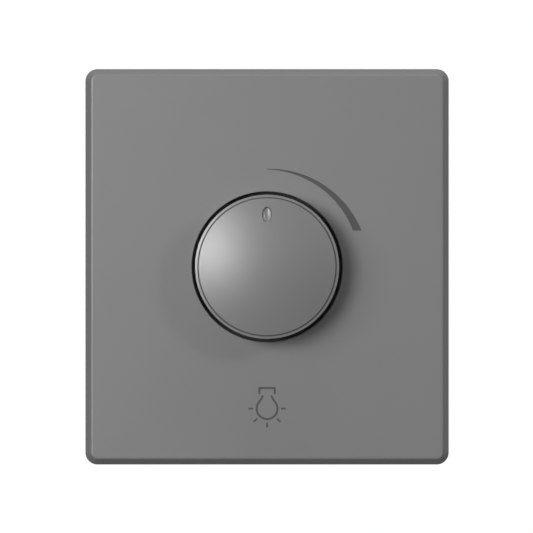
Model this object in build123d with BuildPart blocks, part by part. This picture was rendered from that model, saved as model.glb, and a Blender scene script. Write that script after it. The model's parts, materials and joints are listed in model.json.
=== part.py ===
"""A push-and-turn wall dimmer, built piece by piece.

The wall is the plane Y = 0, the room lies towards -Y and +Z is up. The knob turns about the Y axis.
A height here is a distance out of the wall towards the room, so a negative height is inside the box
behind the wall. All sizes are in millimetres.
"""

import os
from math import asin, cos, radians, sin, sqrt

from build123d import *

os.makedirs("parts", exist_ok=True)

# Cover plate
PLATE_WIDTH = 86.0
PLATE_HEIGHT = 93.6
PLATE_DEPTH = 9.0
PLATE_CORNER = 2.85
EDGE_WIDTH = 1.28
EDGE_DROP = 2.12
EDGE_ROUND = 0.85
BRINK_ROUND = 0.25
FACE_THICK = 2.2
SIDE_WALL = 1.9
CAVITY_CORNER = 1.6
COLLAR_WALL = 1.6
COLLAR_CLEAR = 0.6
HOLE_ROUND = 0.2
RIB_THICK = 1.2
RIB_DROP = 1.4
RIB_CLEAR = 0.5
NOTCH_WIDTH = 9.0
NOTCH_HEIGHT = 1.2

# Snap hooks between the plate and its frame
HOOK_SPACING = 44.0
HOOK_WIDTH = 8.0
HOOK_THICK = 1.4
HOOK_BARB = 1.1
HOOK_LEAD = 0.3
HOOK_CLEAR = 0.25
WINDOW_HEIGHT = 2.2
WINDOW_CLEAR = 0.6

# Mounting frame
FRAME_CLEAR = 0.35
FRAME_BASE = 2.4
RIM_WALL = 1.6
RIM_CLEAR = 0.2
RIM_CORNER = 0.8
BOX_CENTRES = 60.3
SLOT_WIDTH = 4.2
SLOT_LENGTH = 7.2
SEAT_MARGIN = 2.2
SEAT_DEPTH = 0.8
WELL_WALL = 1.2
WELL_HEIGHT = 1.6
WELL_CLEAR = 0.5
FRAME_RIB_SPACING = 12.0
FRAME_RIB_THICK = 1.4

# Knob
KNOB_RADIUS = 17.0
KNOB_GAP = 0.8
KNOB_STAND = 9.85
KNOB_CROWN = 1.75
KNOB_ROUND = 0.65
RIM_LAND = 0.05
GROOVE_WIDTH = 0.32
GROOVE_DEPTH = 0.34
KNOB_WALL = 1.8
KNOB_FACE = 1.4
KNOB_RIB_COUNT = 6
KNOB_RIB_THICK = 1.0
KNOB_RIB_DROP = 3.0
BOSS_WALL = 2.0
BOSS_SPLIT = 1.2
BOSS_SPLIT_LENGTH = 6.0
DIMPLE_WIDTH = 2.4
DIMPLE_LENGTH = 3.9
DIMPLE_WALL = 0.35
DIMPLE_SLOPE = 0.25
DIMPLE_BOWL = 0.25
DIMPLE_RISE = 0.15
DIMPLE_OFFSET = 12.3
GRIP_WALL = 0.7
GRIP_LENGTH = 3.0
GRIP_START = 1.5
GRIP_GAP = 40.0
GRIP_MIDDLE = -90.0
GRIP_CLEAR = 0.02

# Push travel and its clearances
PUSH_TRAVEL = 1.8
PUSH_CLEAR = 0.4
SKIRT_CLEAR = 0.8

# Shaft, bush and fixing nut
SHAFT_RADIUS = 3.0
SHAFT_FIT = 0.05
SHAFT_PASS = 0.4
SHAFT_CHAMFER = 0.4
FLAT_OFFSET = 1.5
FLAT_RUNOUT = 0.4
DRIVE_OFFSET = 2.4
DRIVE_CLEAR = 0.2
END_CLEAR = 0.4
BUSH_WALL = 0.45
BUSH_PROUD = 1.1
BUSH_CHAMFER = 0.2
BUSH_CLEAR = 0.1
THREAD_FIT = 0.05
FLANGE_THICK = 1.2
NUT_ACROSS = 10.0
NUT_THICK = 2.0
WASHER_RADIUS = 6.0
WASHER_THICK = 0.5
CLIP_RADIUS = 4.6
CLIP_THICK = 0.6
CLIP_GROOVE_RADIUS = 2.15
CLIP_CLEAR = 0.05
CLIP_SET = 0.3
SHAFT_TAIL = 0.6

# Potentiometer
CASE_RADIUS = 8.5
CASE_WALL = 1.0
CASE_SET = 0.3
CASE_DEPTH = 7.9
WAFER_THICK = 1.0
WAFER_CLEAR = 0.1
ROTOR_CLEAR = 0.3
HUB_RADIUS = 4.6
DISC_RADIUS = 6.2
DISC_SET = 1.0
DISC_THICK = 1.6
LUG_HALF_ANGLE = 10.0
STOP_CLEAR = 0.2
STOP_SLACK = 1.0
HALF_TURN = 180.0
TURN_HALF_ANGLE = 135.0
LEAF_SET = 0.05
LEAF_WIDTH = 0.9
LEAF_THICK = 0.3
LEAF_HALF_ANGLE = 120.0
FINGER_ANGLE = 25.0
FINGER_HALF_ANGLE = 6.0
FINGER_CLEAR = 0.1
PIN_SPACING = 5.0
PIN_WIDTH = 1.2
PIN_THICK = 0.5
PIN_REACH = 1.5
PIN_CLEAR = 0.4
PIN_SIDE_CLEAR = 0.6

# Push switch behind the potentiometer
SWITCH_WIDTH = 15.0
SWITCH_CORNER = 0.8
SWITCH_DEPTH = 10.5
SWITCH_FLOOR = 1.2
SWITCH_MOUTH_CLEAR = 0.6
PLUNGER_RADIUS = 4.0
PLUNGER_HEAD = 3.0
PLUNGER_FIT = 0.1
PLUNGER_GAP = 0.2
STEM_RADIUS = 1.5
STEM_CLEAR = 0.2
SPRING_RADIUS = 2.5
SPRING_WIRE = 0.3
SPRING_TURNS = 4.0
SPRING_CLEAR = 0.05
SWITCH_PIN_SPACING = 10.0

# Heat sink, rear housing and its screws
SINK_THICK = 1.5
HOUSING_WIDTH = 48.0
HOUSING_HEIGHT = 54.0
HOUSING_WALL = 1.8
HOUSING_CORNER = 3.0
HOUSING_ROUND = 1.2
CAVITY_ROUND = 1.2
BOSS_INSET = 3.8
BOSS_RADIUS = 2.8
BOSS_SHOULDER = 0.9
SCREW_RADIUS = 1.45
SCREW_CLEAR = 0.25
PILOT_CLEAR = 0.05
SCREW_HEAD_RADIUS = 2.7
SCREW_HEAD = 1.8
SCREW_BITE = 9.0
SCREW_TIP_CLEAR = 0.4
SCREW_PROUD = 0.4
HEAD_CLEAR = 0.6
RECESS_LENGTH = 3.2
RECESS_WIDTH = 0.8
RECESS_DEPTH = 0.9
VENT_COUNT = 6
VENT_SPACING = 4.0
VENT_WIDTH = 1.6
VENT_LENGTH = 9.0

# Circuit board
BOARD_THICK = 1.6
BOARD_CLEAR = 0.3
POST_HEIGHT = 2.4
POST_RADIUS = 1.8
POST_INSET = 3.0
LEAD_RADIUS = 0.35
LEAD_CLEAR = 0.2
LEAD_TAIL = 1.0

# Suppression choke
CORE_RADIUS = 7.5
CORE_BORE = 4.0
CORE_HEIGHT = 6.0
TURN_COUNT = 18
TURN_WIRE = 0.9
TURN_CLEAR = 0.06
CHOKE_MARGIN = 0.8

# Film capacitors
CAPACITOR_LENGTH = 13.0
CAPACITOR_WIDTH = 6.0
CAPACITOR_HEIGHT = 12.0
CAPACITOR_ROUND = 0.8
CAPACITOR_MARGIN = 0.9
CAPACITOR_TOP_MARGIN = 1.7
TIMING_LENGTH = 10.0
TIMING_WIDTH = 4.5
TIMING_HEIGHT = 8.0
TIMING_MARGIN = 3.2
LEAD_INSET = 1.5

# Fuse
FUSE_LENGTH = 20.0
FUSE_RADIUS = 2.5
FUSE_BORE = 2.0
FUSE_CAP_LENGTH = 5.0
FUSE_CAP_WALL = 0.15
FUSE_CLEAR = 0.02
FUSE_LIFT = 3.4
FUSE_MARGIN = 3.0
FUSE_END_CLEAR = 0.6
FUSE_CLIP_WIDTH = 4.0
FUSE_CLIP_WALL = 0.5
FUSE_CLIP_CLEAR = 0.05

# Resistors and trigger diode
RESISTOR_COUNT = 2
RESISTOR_RADIUS = 1.2
RESISTOR_LENGTH = 6.4
RESISTOR_SPAN = 10.0
RESISTOR_LIFT = 0.3
RESISTOR_BEND = 0.6
DIAC_RADIUS = 0.9
DIAC_LENGTH = 4.2

# Power triac
TRIAC_WIDTH = 10.0
TAB_LENGTH = 15.6
TAB_THICK = 1.3
TAB_HOLE_SET = 3.0
TRIAC_LENGTH = 9.2
TRIAC_THICK = 3.2
TRIAC_MARGIN = 1.7
TRIAC_TOP_MARGIN = 6.0
TRIAC_LEAD_SPACING = 2.54
TRIAC_LEAD_WIDTH = 0.8
TRIAC_LEAD_THICK = 0.5
TRIAC_LEAD_DROP = 3.2
TRIAC_LEAD_SET = 1.2
PAD_THICK = 0.3
PAD_MARGIN = 0.5
TRIAC_NUT_ACROSS = 5.5
TRIAC_NUT_THICK = 2.3

# Mains terminals
TERMINAL_COUNT = 3
TERMINAL_PITCH = 11.0
PILLAR_WIDTH = 7.2
PILLAR_LENGTH = 9.0
PILLAR_DEPTH = 9.2
WIRE_BORE_RADIUS = 1.9
WIRE_BORE_SET = 3.2
BAY_CLEAR = 0.3
BAY_END = 0.6
BAY_WALL = 1.6
BAY_RECESS = 2.0
CLAMP_RADIUS = 1.55
CLAMP_FIT = 0.05
CLAMP_TIP_CLEAR = 0.2
CLAMP_HEAD_RADIUS = 2.6
CLAMP_HEAD = 1.8
CLAMP_SLOT_WIDTH = 0.8
CLAMP_SLOT_DEPTH = 0.9
LUG_WIDTH = 2.6
LUG_THICK = 0.8
LUG_REACH = 2.4

# Heights and outlines of the plate and its frame
PLATE_UNDER = PLATE_DEPTH - FACE_THICK
HOLE_RADIUS = KNOB_RADIUS + KNOB_GAP
COLLAR_RADIUS = HOLE_RADIUS + COLLAR_WALL
COLLAR_END = FRAME_BASE + COLLAR_CLEAR
INSIDE_WIDTH = PLATE_WIDTH - 2 * SIDE_WALL
INSIDE_HEIGHT = PLATE_HEIGHT - 2 * SIDE_WALL
FRAME_WIDTH = INSIDE_WIDTH - 2 * FRAME_CLEAR
FRAME_HEIGHT = INSIDE_HEIGHT - 2 * FRAME_CLEAR
RIM_TOP = PLATE_UNDER - RIM_CLEAR
RIM_WIDTH = FRAME_WIDTH - 2 * RIM_WALL
RIM_HEIGHT = FRAME_HEIGHT - 2 * RIM_WALL
HOOK_OUTER = RIM_HEIGHT / 2 - HOOK_CLEAR
HOOK_INNER = HOOK_OUTER - HOOK_THICK
HOOK_END = FRAME_BASE + HOOK_CLEAR
WINDOW_TOP = FRAME_BASE + WINDOW_HEIGHT
HOOK_CATCH = WINDOW_TOP - HOOK_CLEAR
WELL_RADIUS = COLLAR_RADIUS + WELL_CLEAR

# Heights and radii of the knob and its shaft
KNOB_RIM = PLATE_DEPTH + KNOB_STAND
KNOB_TOP = KNOB_RIM + KNOB_CROWN
KNOB_UNDER = KNOB_RIM - KNOB_FACE
KNOB_INNER = KNOB_RADIUS - KNOB_WALL
SKIRT_BOTTOM = FRAME_BASE + PUSH_TRAVEL + SKIRT_CLEAR
DOME_RADIUS = (KNOB_RADIUS**2 + KNOB_CROWN**2) / (2 * KNOB_CROWN)
DOME_CENTRE = KNOB_TOP - DOME_RADIUS
ROUND_START = KNOB_RADIUS - KNOB_ROUND * (1 - KNOB_RADIUS / DOME_RADIUS)
GROOVE_OUTER = ROUND_START - RIM_LAND
GROOVE_INNER = GROOVE_OUTER - GROOVE_WIDTH
GROOVE_FLOOR = DOME_CENTRE + sqrt(DOME_RADIUS**2 - GROOVE_OUTER**2) - GROOVE_DEPTH
GROOVE_BRINK = DOME_CENTRE + sqrt(DOME_RADIUS**2 - GROOVE_INNER**2)
BUSH_BORE = SHAFT_RADIUS + SHAFT_FIT
BUSH_RADIUS = BUSH_BORE + BUSH_WALL
BUSH_HOLE = BUSH_RADIUS + BUSH_CLEAR
BUSH_TOP = FRAME_BASE + WASHER_THICK + NUT_THICK + BUSH_PROUD
BOSS_BOTTOM = BUSH_TOP + PUSH_TRAVEL + PUSH_CLEAR
KNOB_BOSS_RADIUS = SHAFT_RADIUS + BOSS_WALL
SHAFT_TOP = KNOB_UNDER - END_CLEAR

# Heights and radii of the potentiometer and the push switch
FLANGE_REAR = -SINK_THICK - FLANGE_THICK
CASE_FRONT = -SINK_THICK - CASE_SET
CASE_REAR = CASE_FRONT - CASE_DEPTH
CASE_FLOOR = CASE_REAR + CASE_WALL
CASE_INNER = CASE_RADIUS - CASE_WALL
WAFER_RADIUS = CASE_INNER - WAFER_CLEAR
WAFER_REAR = FLANGE_REAR - WAFER_THICK
HUB_FRONT = WAFER_REAR - ROTOR_CLEAR
HUB_REAR = CASE_FLOOR + ROTOR_CLEAR
DISC_FRONT = HUB_FRONT - DISC_SET
LUG_RADIUS = CASE_INNER - ROTOR_CLEAR
LEAF_OUTER = DISC_RADIUS - LEAF_SET
STOP_INNER = DISC_RADIUS + STOP_CLEAR
STOP_HALF_ANGLE = HALF_TURN - TURN_HALF_ANGLE - LUG_HALF_ANGLE - STOP_SLACK
SHAFT_SHOULDER = HUB_FRONT + PUSH_TRAVEL + DRIVE_CLEAR
CLIP_FRONT = CASE_REAR - CLIP_SET
CLIP_REAR = CLIP_FRONT - CLIP_THICK
SHAFT_END = CLIP_REAR - SHAFT_TAIL
SWITCH_REAR = CASE_REAR - SWITCH_DEPTH
SWITCH_INSIDE = SWITCH_REAR + SWITCH_FLOOR
SWITCH_MOUTH_RADIUS = CLIP_RADIUS + SWITCH_MOUTH_CLEAR
SWITCH_MOUTH_END = CLIP_REAR - PUSH_TRAVEL - PUSH_CLEAR
PLUNGER_FRONT = SHAFT_END - PLUNGER_GAP
PLUNGER_REAR = PLUNGER_FRONT - PLUNGER_HEAD
STEM_END = SWITCH_INSIDE + PUSH_TRAVEL + STEM_CLEAR

# Heights and places of the housing, the board and the terminals
BOARD_FRONT = SWITCH_REAR
BOARD_REAR = BOARD_FRONT - BOARD_THICK
TAIL_END = BOARD_REAR - LEAD_TAIL
HOUSING_FLOOR = BOARD_REAR - POST_HEIGHT
HOUSING_REAR = HOUSING_FLOOR - HOUSING_WALL
BOSS_X = HOUSING_WIDTH / 2 - BOSS_INSET
BOSS_Z = HOUSING_HEIGHT / 2 - BOSS_INSET
SCREW_END = -SINK_THICK - SCREW_BITE
ROOM_SIDE = HOUSING_WIDTH / 2 - HOUSING_WALL
ROOM_TOP = HOUSING_HEIGHT / 2 - HOUSING_WALL
BAY_DEPTH = PILLAR_DEPTH + CLAMP_HEAD + BAY_RECESS
BAY_FLOOR = HOUSING_REAR + BAY_DEPTH
BAY_TOP = -HOUSING_HEIGHT / 2 + PILLAR_LENGTH + 2 * BAY_END
ROOM_BOTTOM = BAY_TOP + BAY_WALL
PILLAR_BOTTOM = -HOUSING_HEIGHT / 2 + BAY_END
PILLAR_TOP = PILLAR_BOTTOM + PILLAR_LENGTH
PILLAR_MIDDLE = (PILLAR_BOTTOM + PILLAR_TOP) / 2
PILLAR_REAR = BAY_FLOOR - PILLAR_DEPTH
WIRE_HEIGHT = BAY_FLOOR - WIRE_BORE_SET
CLAMP_TIP = WIRE_HEIGHT - WIRE_BORE_RADIUS - CLAMP_TIP_CLEAR
TERMINAL_PLACES = [(i - (TERMINAL_COUNT - 1) / 2) * TERMINAL_PITCH for i in range(TERMINAL_COUNT)]

# Places of the parts on the board
CHOKE_RADIUS = CORE_RADIUS + TURN_WIRE
CHOKE_DEPTH = CORE_HEIGHT + 2 * TURN_WIRE
CHOKE_X = CHOKE_RADIUS + CHOKE_MARGIN - ROOM_SIDE
CHOKE_Z = BOSS_Z - BOSS_RADIUS - CHOKE_MARGIN - CHOKE_DEPTH / 2
CHOKE_HEIGHT = BOARD_FRONT + CHOKE_RADIUS
CAPACITOR_X = BOSS_X - BOSS_RADIUS - CAPACITOR_MARGIN - CAPACITOR_LENGTH / 2
CAPACITOR_Z = ROOM_TOP - CAPACITOR_WIDTH / 2 - CAPACITOR_TOP_MARGIN
TIMING_X = ROOM_SIDE - TIMING_MARGIN - TIMING_LENGTH / 2
TIMING_Z = CAPACITOR_Z - CAPACITOR_WIDTH / 2 - TIMING_MARGIN - TIMING_WIDTH / 2
TIMING_BOTTOM = TIMING_Z - TIMING_WIDTH / 2
FUSE_X = FUSE_MARGIN + FUSE_RADIUS - ROOM_SIDE
FUSE_BOTTOM = ROOM_BOTTOM + FUSE_END_CLEAR
FUSE_TOP = FUSE_BOTTOM + FUSE_LENGTH
FUSE_HEIGHT = BOARD_FRONT + FUSE_LIFT
CAP_RADIUS = FUSE_RADIUS + FUSE_CLEAR + FUSE_CAP_WALL
CLIP_PLACES = [FUSE_BOTTOM + FUSE_CAP_LENGTH / 2, FUSE_TOP - FUSE_CAP_LENGTH / 2]
LUG_TOP = ROOM_BOTTOM + LUG_REACH
TRIAC_X = ROOM_SIDE - TRIAC_MARGIN - TRIAC_WIDTH / 2
TAB_TOP = ROOM_TOP - TRIAC_TOP_MARGIN
TAB_HOLE_Z = TAB_TOP - TAB_HOLE_SET
TAB_BOTTOM = TAB_TOP - TAB_LENGTH
TAB_FRONT = -SINK_THICK - PAD_THICK
TAB_REAR = TAB_FRONT - TAB_THICK
TRIAC_LEAD_Z = TAB_BOTTOM - TRIAC_LEAD_DROP
TRIAC_LEAD_PLACES = [TRIAC_X + k * TRIAC_LEAD_SPACING for k in (-1, 0, 1)]
RESISTOR_X = (SWITCH_WIDTH / 2 + ROOM_SIDE) / 2
RESISTOR_PITCH = (TIMING_BOTTOM - TRIAC_LEAD_Z) / (RESISTOR_COUNT + 1)
RESISTOR_PLACES = [TRIAC_LEAD_Z + (i + 1) * RESISTOR_PITCH for i in range(RESISTOR_COUNT)]
DIAC_Z = (TRIAC_LEAD_Z + LUG_TOP) / 2
PIN_PLACES = [k * PIN_SPACING for k in (-1, 0, 1)]
PIN_DROP = CASE_RADIUS + PIN_REACH
UPPER_PLACES = [(-BOSS_X, BOSS_Z), (BOSS_X, BOSS_Z)]
LOWER_PLACES = [(-BOSS_X, -BOSS_Z), (BOSS_X, -BOSS_Z)]
SCREW_PLACES = UPPER_PLACES + LOWER_PLACES
TURN_STEP = radians(360 / TURN_COUNT)
TURN_RADIUS = CORE_RADIUS + TURN_WIRE / 2
CHOKE_LEADS = [(CHOKE_X + k * TURN_RADIUS * sin(TURN_STEP), CHOKE_Z) for k in (-1, 1)]
CHOKE_LEAD_TOP = CHOKE_HEIGHT - TURN_RADIUS * cos(TURN_STEP)
CAPACITOR_LEADS = [
    (CAPACITOR_X + k * (CAPACITOR_LENGTH / 2 - LEAD_INSET), CAPACITOR_Z) for k in (-1, 1)
]
TIMING_LEADS = [(TIMING_X + k * (TIMING_LENGTH / 2 - LEAD_INSET), TIMING_Z) for k in (-1, 1)]
FUSE_LEADS = [(FUSE_X, z) for z in CLIP_PLACES]
AXIAL_LEADS = [
    (RESISTOR_X + k * RESISTOR_SPAN / 2, z) for z in (*RESISTOR_PLACES, DIAC_Z) for k in (-1, 1)
]
SWITCH_LEADS = [
    (i * SWITCH_PIN_SPACING / 2, k * SWITCH_PIN_SPACING / 2) for i in (-1, 1) for k in (-1, 1)
]
FLAT_LEADS = [(x, TRIAC_LEAD_Z) for x in TRIAC_LEAD_PLACES] + [(x, -PIN_DROP) for x in PIN_PLACES]
ROUND_LEADS = CHOKE_LEADS + CAPACITOR_LEADS + TIMING_LEADS + FUSE_LEADS + AXIAL_LEADS + SWITCH_LEADS

# Half section of a turned piece: radius across the page, height up it
SECTION = Plane(origin=(0, 0, 0), x_dir=(1, 0, 0), z_dir=(0, 0, -1))


def at(height):
    """The plane at this height, drawn as seen from the room."""
    return Plane.XZ.offset(height)


def arc_band(inner, outer, middle, half_angle):
    """Draws a band between two radii, half_angle to each side of the middle direction."""
    start = radians(middle - half_angle)
    end = radians(middle + half_angle)
    with BuildLine() as band:
        CenterArc((0, 0), outer, middle - half_angle, 2 * half_angle)
        CenterArc((0, 0), inner, middle - half_angle, 2 * half_angle)
        Line((inner * cos(start), inner * sin(start)), (outer * cos(start), outer * sin(start)))
        Line((inner * cos(end), inner * sin(end)), (outer * cos(end), outer * sin(end)))
    make_face(band.edges())


def drive_shape(gap):
    """Draws the shaft's two-flat drive section, grown by gap all round."""
    Circle(SHAFT_RADIUS + gap)
    Rectangle(2 * (DRIVE_OFFSET + gap), 4 * SHAFT_RADIUS, mode=Mode.INTERSECT)


def knob_shape(gap):
    """Draws the shaft's one-flat knob section, grown by gap all round."""
    Circle(SHAFT_RADIUS + gap)
    with Locations((0, FLAT_OFFSET + gap)):
        Rectangle(
            4 * SHAFT_RADIUS, 4 * SHAFT_RADIUS, align=(Align.CENTER, Align.MIN), mode=Mode.SUBTRACT
        )


# Cover plate: a moulded shell with a bevelled edge, a collar round the knob, ribs and snap hooks
with BuildPart() as cover_plate:
    with BuildSketch(at(0)):
        RectangleRounded(PLATE_WIDTH, PLATE_HEIGHT, PLATE_CORNER)
    extrude(amount=PLATE_DEPTH)
    front = cover_plate.faces().sort_by(Axis.Y)[0]
    chamfer(front.edges(), EDGE_WIDTH, EDGE_DROP, reference=front)
    fillet(cover_plate.edges().group_by(Axis.Y)[0], EDGE_ROUND)
    brink = EDGE_DROP - PLATE_DEPTH
    brink_edges = cover_plate.edges().filter_by_position(Axis.Y, brink - BRINK_ROUND, brink + BRINK_ROUND)
    fillet(brink_edges, BRINK_ROUND)
    with BuildSketch(at(0)):
        RectangleRounded(INSIDE_WIDTH, INSIDE_HEIGHT, CAVITY_CORNER)
    extrude(amount=PLATE_UNDER, mode=Mode.SUBTRACT)
    # Ribs from the collar to just inside the frame's rim
    with BuildSketch(at(PLATE_UNDER)):
        Rectangle(RIM_WIDTH - 2 * RIB_CLEAR, RIB_THICK)
        Rectangle(RIB_THICK, RIM_HEIGHT - 2 * RIB_CLEAR)
    extrude(amount=-RIB_DROP)
    with BuildSketch(at(PLATE_UNDER)):
        Circle(COLLAR_RADIUS)
    extrude(amount=COLLAR_END - PLATE_UNDER)
    with BuildSketch(at(PLATE_DEPTH)):
        Circle(HOLE_RADIUS)
    extrude(amount=-PLATE_DEPTH, mode=Mode.SUBTRACT)
    hole_edges = cover_plate.edges().filter_by(GeomType.CIRCLE)
    hole_edges = hole_edges.filter_by(lambda edge: abs(edge.radius - HOLE_RADIUS) < HOLE_ROUND)
    fillet(hole_edges.sort_by(Axis.Y)[0], HOLE_ROUND)
    # Two hooks along the top and two along the bottom, barbs outwards
    for side in (-1, 1):
        for place in (-1, 1):
            with BuildSketch(Plane.YZ.offset(place * HOOK_SPACING / 2 - HOOK_WIDTH / 2)):
                with BuildLine():
                    Polyline(
                        (-PLATE_UNDER, side * HOOK_INNER),
                        (-PLATE_UNDER, side * HOOK_OUTER),
                        (-HOOK_CATCH, side * HOOK_OUTER),
                        (-HOOK_CATCH, side * (HOOK_OUTER + HOOK_BARB)),
                        (-HOOK_END, side * (HOOK_OUTER + HOOK_LEAD)),
                        (-HOOK_END, side * HOOK_INNER),
                        close=True,
                    )
                make_face()
            extrude(amount=HOOK_WIDTH)
    # Notch in the bottom rim for prising the plate off
    with BuildSketch(at(0)):
        with Locations((0, -PLATE_HEIGHT / 2)):
            Rectangle(NOTCH_WIDTH, 2 * SIDE_WALL)
    extrude(amount=NOTCH_HEIGHT, mode=Mode.SUBTRACT)

# Mounting frame: screwed to the wall box, with windows in its rim for the plate's hooks
with BuildPart() as mounting_frame:
    with BuildSketch(at(0)):
        RectangleRounded(FRAME_WIDTH, FRAME_HEIGHT, CAVITY_CORNER)
    extrude(amount=RIM_TOP)
    with BuildSketch(at(FRAME_BASE)):
        RectangleRounded(RIM_WIDTH, RIM_HEIGHT, RIM_CORNER)
    extrude(amount=RIM_TOP - FRAME_BASE, mode=Mode.SUBTRACT)
    # Ribs from the knob's well to the top and bottom rims
    with BuildSketch(at(FRAME_BASE)):
        with GridLocations(FRAME_RIB_SPACING, 0, 2, 1):
            Rectangle(FRAME_RIB_THICK, RIM_HEIGHT)
        Circle(WELL_RADIUS + WELL_WALL)
        Circle(WELL_RADIUS, mode=Mode.SUBTRACT)
    extrude(amount=WELL_HEIGHT)
    with BuildSketch(at(FRAME_BASE)):
        with GridLocations(HOOK_SPACING, FRAME_HEIGHT - RIM_WALL, 2, 2):
            Rectangle(HOOK_WIDTH + 2 * WINDOW_CLEAR, 2 * RIM_WALL)
    extrude(amount=WINDOW_HEIGHT, mode=Mode.SUBTRACT)
    # Slots for the wall box screws, each with a sunk seat for the screw head
    with BuildSketch(at(FRAME_BASE)):
        with GridLocations(BOX_CENTRES, 0, 2, 1):
            SlotOverall(SLOT_LENGTH + 2 * SEAT_MARGIN, SLOT_WIDTH + 2 * SEAT_MARGIN)
    extrude(amount=-SEAT_DEPTH, mode=Mode.SUBTRACT)
    with BuildSketch(at(0)):
        with GridLocations(BOX_CENTRES, 0, 2, 1):
            SlotOverall(SLOT_LENGTH, SLOT_WIDTH)
        Circle(BUSH_HOLE)
        with Locations(*SCREW_PLACES):
            Circle(SCREW_RADIUS + SCREW_CLEAR)
    extrude(amount=FRAME_BASE, mode=Mode.SUBTRACT)
    # Opening for the head of the triac's screw, through the well's wall too
    with BuildSketch(at(0)):
        with Locations((TRIAC_X, TAB_HOLE_Z)):
            Circle(SCREW_HEAD_RADIUS + HEAD_CLEAR)
    extrude(amount=FRAME_BASE + WELL_HEIGHT, mode=Mode.SUBTRACT)

# Form of the knob's oval finger dimple: a sloping wall and a rounded floor that rises to both ends
dimple_tilt = asin(DIMPLE_OFFSET / DOME_RADIUS)
dimple_out = Vector(0, -cos(dimple_tilt), sin(dimple_tilt))
dimple_up = Vector(0, sin(dimple_tilt), cos(dimple_tilt))
dimple_spot = Vector(0, -DOME_CENTRE, 0) + dimple_out * DOME_RADIUS
dimple_mouth = Plane(origin=dimple_spot, x_dir=(1, 0, 0), z_dir=dimple_out)
dimple_floor = DIMPLE_WALL + DIMPLE_BOWL
foot_across = DIMPLE_WIDTH / 2 - DIMPLE_SLOPE
foot_along = DIMPLE_LENGTH / 2 - DIMPLE_SLOPE
bowl_across = (foot_across**2 + DIMPLE_BOWL**2) / (2 * DIMPLE_BOWL)
bowl_along = (foot_along**2 + DIMPLE_RISE**2) / (2 * DIMPLE_RISE)
bowl_pivot = dimple_spot + dimple_out * (bowl_along - dimple_floor)

with BuildPart() as dimple:
    for depth in (-DIMPLE_WALL, dimple_floor):
        inset = DIMPLE_SLOPE * depth / DIMPLE_WALL
        with BuildSketch(dimple_mouth.offset(-depth)):
            Ellipse(DIMPLE_WIDTH / 2 - inset, DIMPLE_LENGTH / 2 - inset)
    loft()
    with BuildSketch(Plane(origin=bowl_pivot, x_dir=(1, 0, 0), z_dir=dimple_up)):
        with Locations((0, bowl_along - bowl_across)):
            Circle(bowl_across)
    revolve(axis=Axis(bowl_pivot, (1, 0, 0)), mode=Mode.INTERSECT)

# Knob: a domed cap with a fine groove near its edge, hollow behind, with a ribbed boss. The dome is cut
# by a ball whose poles lie up and down, so no pole of its surface is on the knob's face.
with BuildPart() as knob:
    with BuildSketch(SECTION):
        with BuildLine():
            Polyline(
                (0, KNOB_TOP),
                (0, BOSS_BOTTOM),
                (KNOB_BOSS_RADIUS, BOSS_BOTTOM),
                (KNOB_BOSS_RADIUS, KNOB_UNDER),
                (KNOB_INNER, KNOB_UNDER),
                (KNOB_INNER, SKIRT_BOTTOM),
                (KNOB_RADIUS, SKIRT_BOTTOM),
                (KNOB_RADIUS, KNOB_TOP),
                close=True,
            )
        make_face()
    revolve(axis=Axis.Y)
    with Locations((0, -DOME_CENTRE, 0)):
        Sphere(DOME_RADIUS, mode=Mode.INTERSECT)
    fillet(knob.edges().filter_by(GeomType.CIRCLE).sort_by(Axis.Y)[0], KNOB_ROUND)
    # The groove's inner wall slopes outwards, its outer wall is upright
    with BuildSketch(SECTION):
        with BuildLine():
            Polyline(
                (GROOVE_OUTER, GROOVE_FLOOR),
                (GROOVE_OUTER, 2 * GROOVE_BRINK - GROOVE_FLOOR),
                (2 * GROOVE_INNER - GROOVE_OUTER, 2 * GROOVE_BRINK - GROOVE_FLOOR),
                close=True,
            )
        make_face()
    revolve(axis=Axis.Y, mode=Mode.SUBTRACT)
    with BuildSketch(at(KNOB_UNDER)):
        with PolarLocations((KNOB_BOSS_RADIUS + KNOB_INNER) / 2, KNOB_RIB_COUNT):
            Rectangle(KNOB_INNER - KNOB_BOSS_RADIUS + BOSS_WALL, KNOB_RIB_THICK)
    extrude(amount=-KNOB_RIB_DROP)
    with BuildSketch(at(BOSS_BOTTOM)):
        knob_shape(SHAFT_FIT)
    extrude(amount=KNOB_UNDER - BOSS_BOTTOM, mode=Mode.SUBTRACT)
    # Split in the boss, so the ring round it can close it on the shaft
    with BuildSketch(at(BOSS_BOTTOM)):
        Rectangle(BOSS_SPLIT, 2 * KNOB_BOSS_RADIUS, align=(Align.CENTER, Align.MAX))
    extrude(amount=BOSS_SPLIT_LENGTH, mode=Mode.SUBTRACT)
    # The dimple marks where the knob points
    add(dimple.part, mode=Mode.SUBTRACT)

# Spring ring that closes the knob's split boss on the shaft
with BuildPart() as knob_grip_ring:
    with BuildSketch(at(BOSS_BOTTOM + GRIP_START)):
        arc_band(
            KNOB_BOSS_RADIUS + GRIP_CLEAR,
            KNOB_BOSS_RADIUS + GRIP_CLEAR + GRIP_WALL,
            GRIP_MIDDLE,
            HALF_TURN - GRIP_GAP / 2,
        )
    extrude(amount=GRIP_LENGTH)

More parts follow.
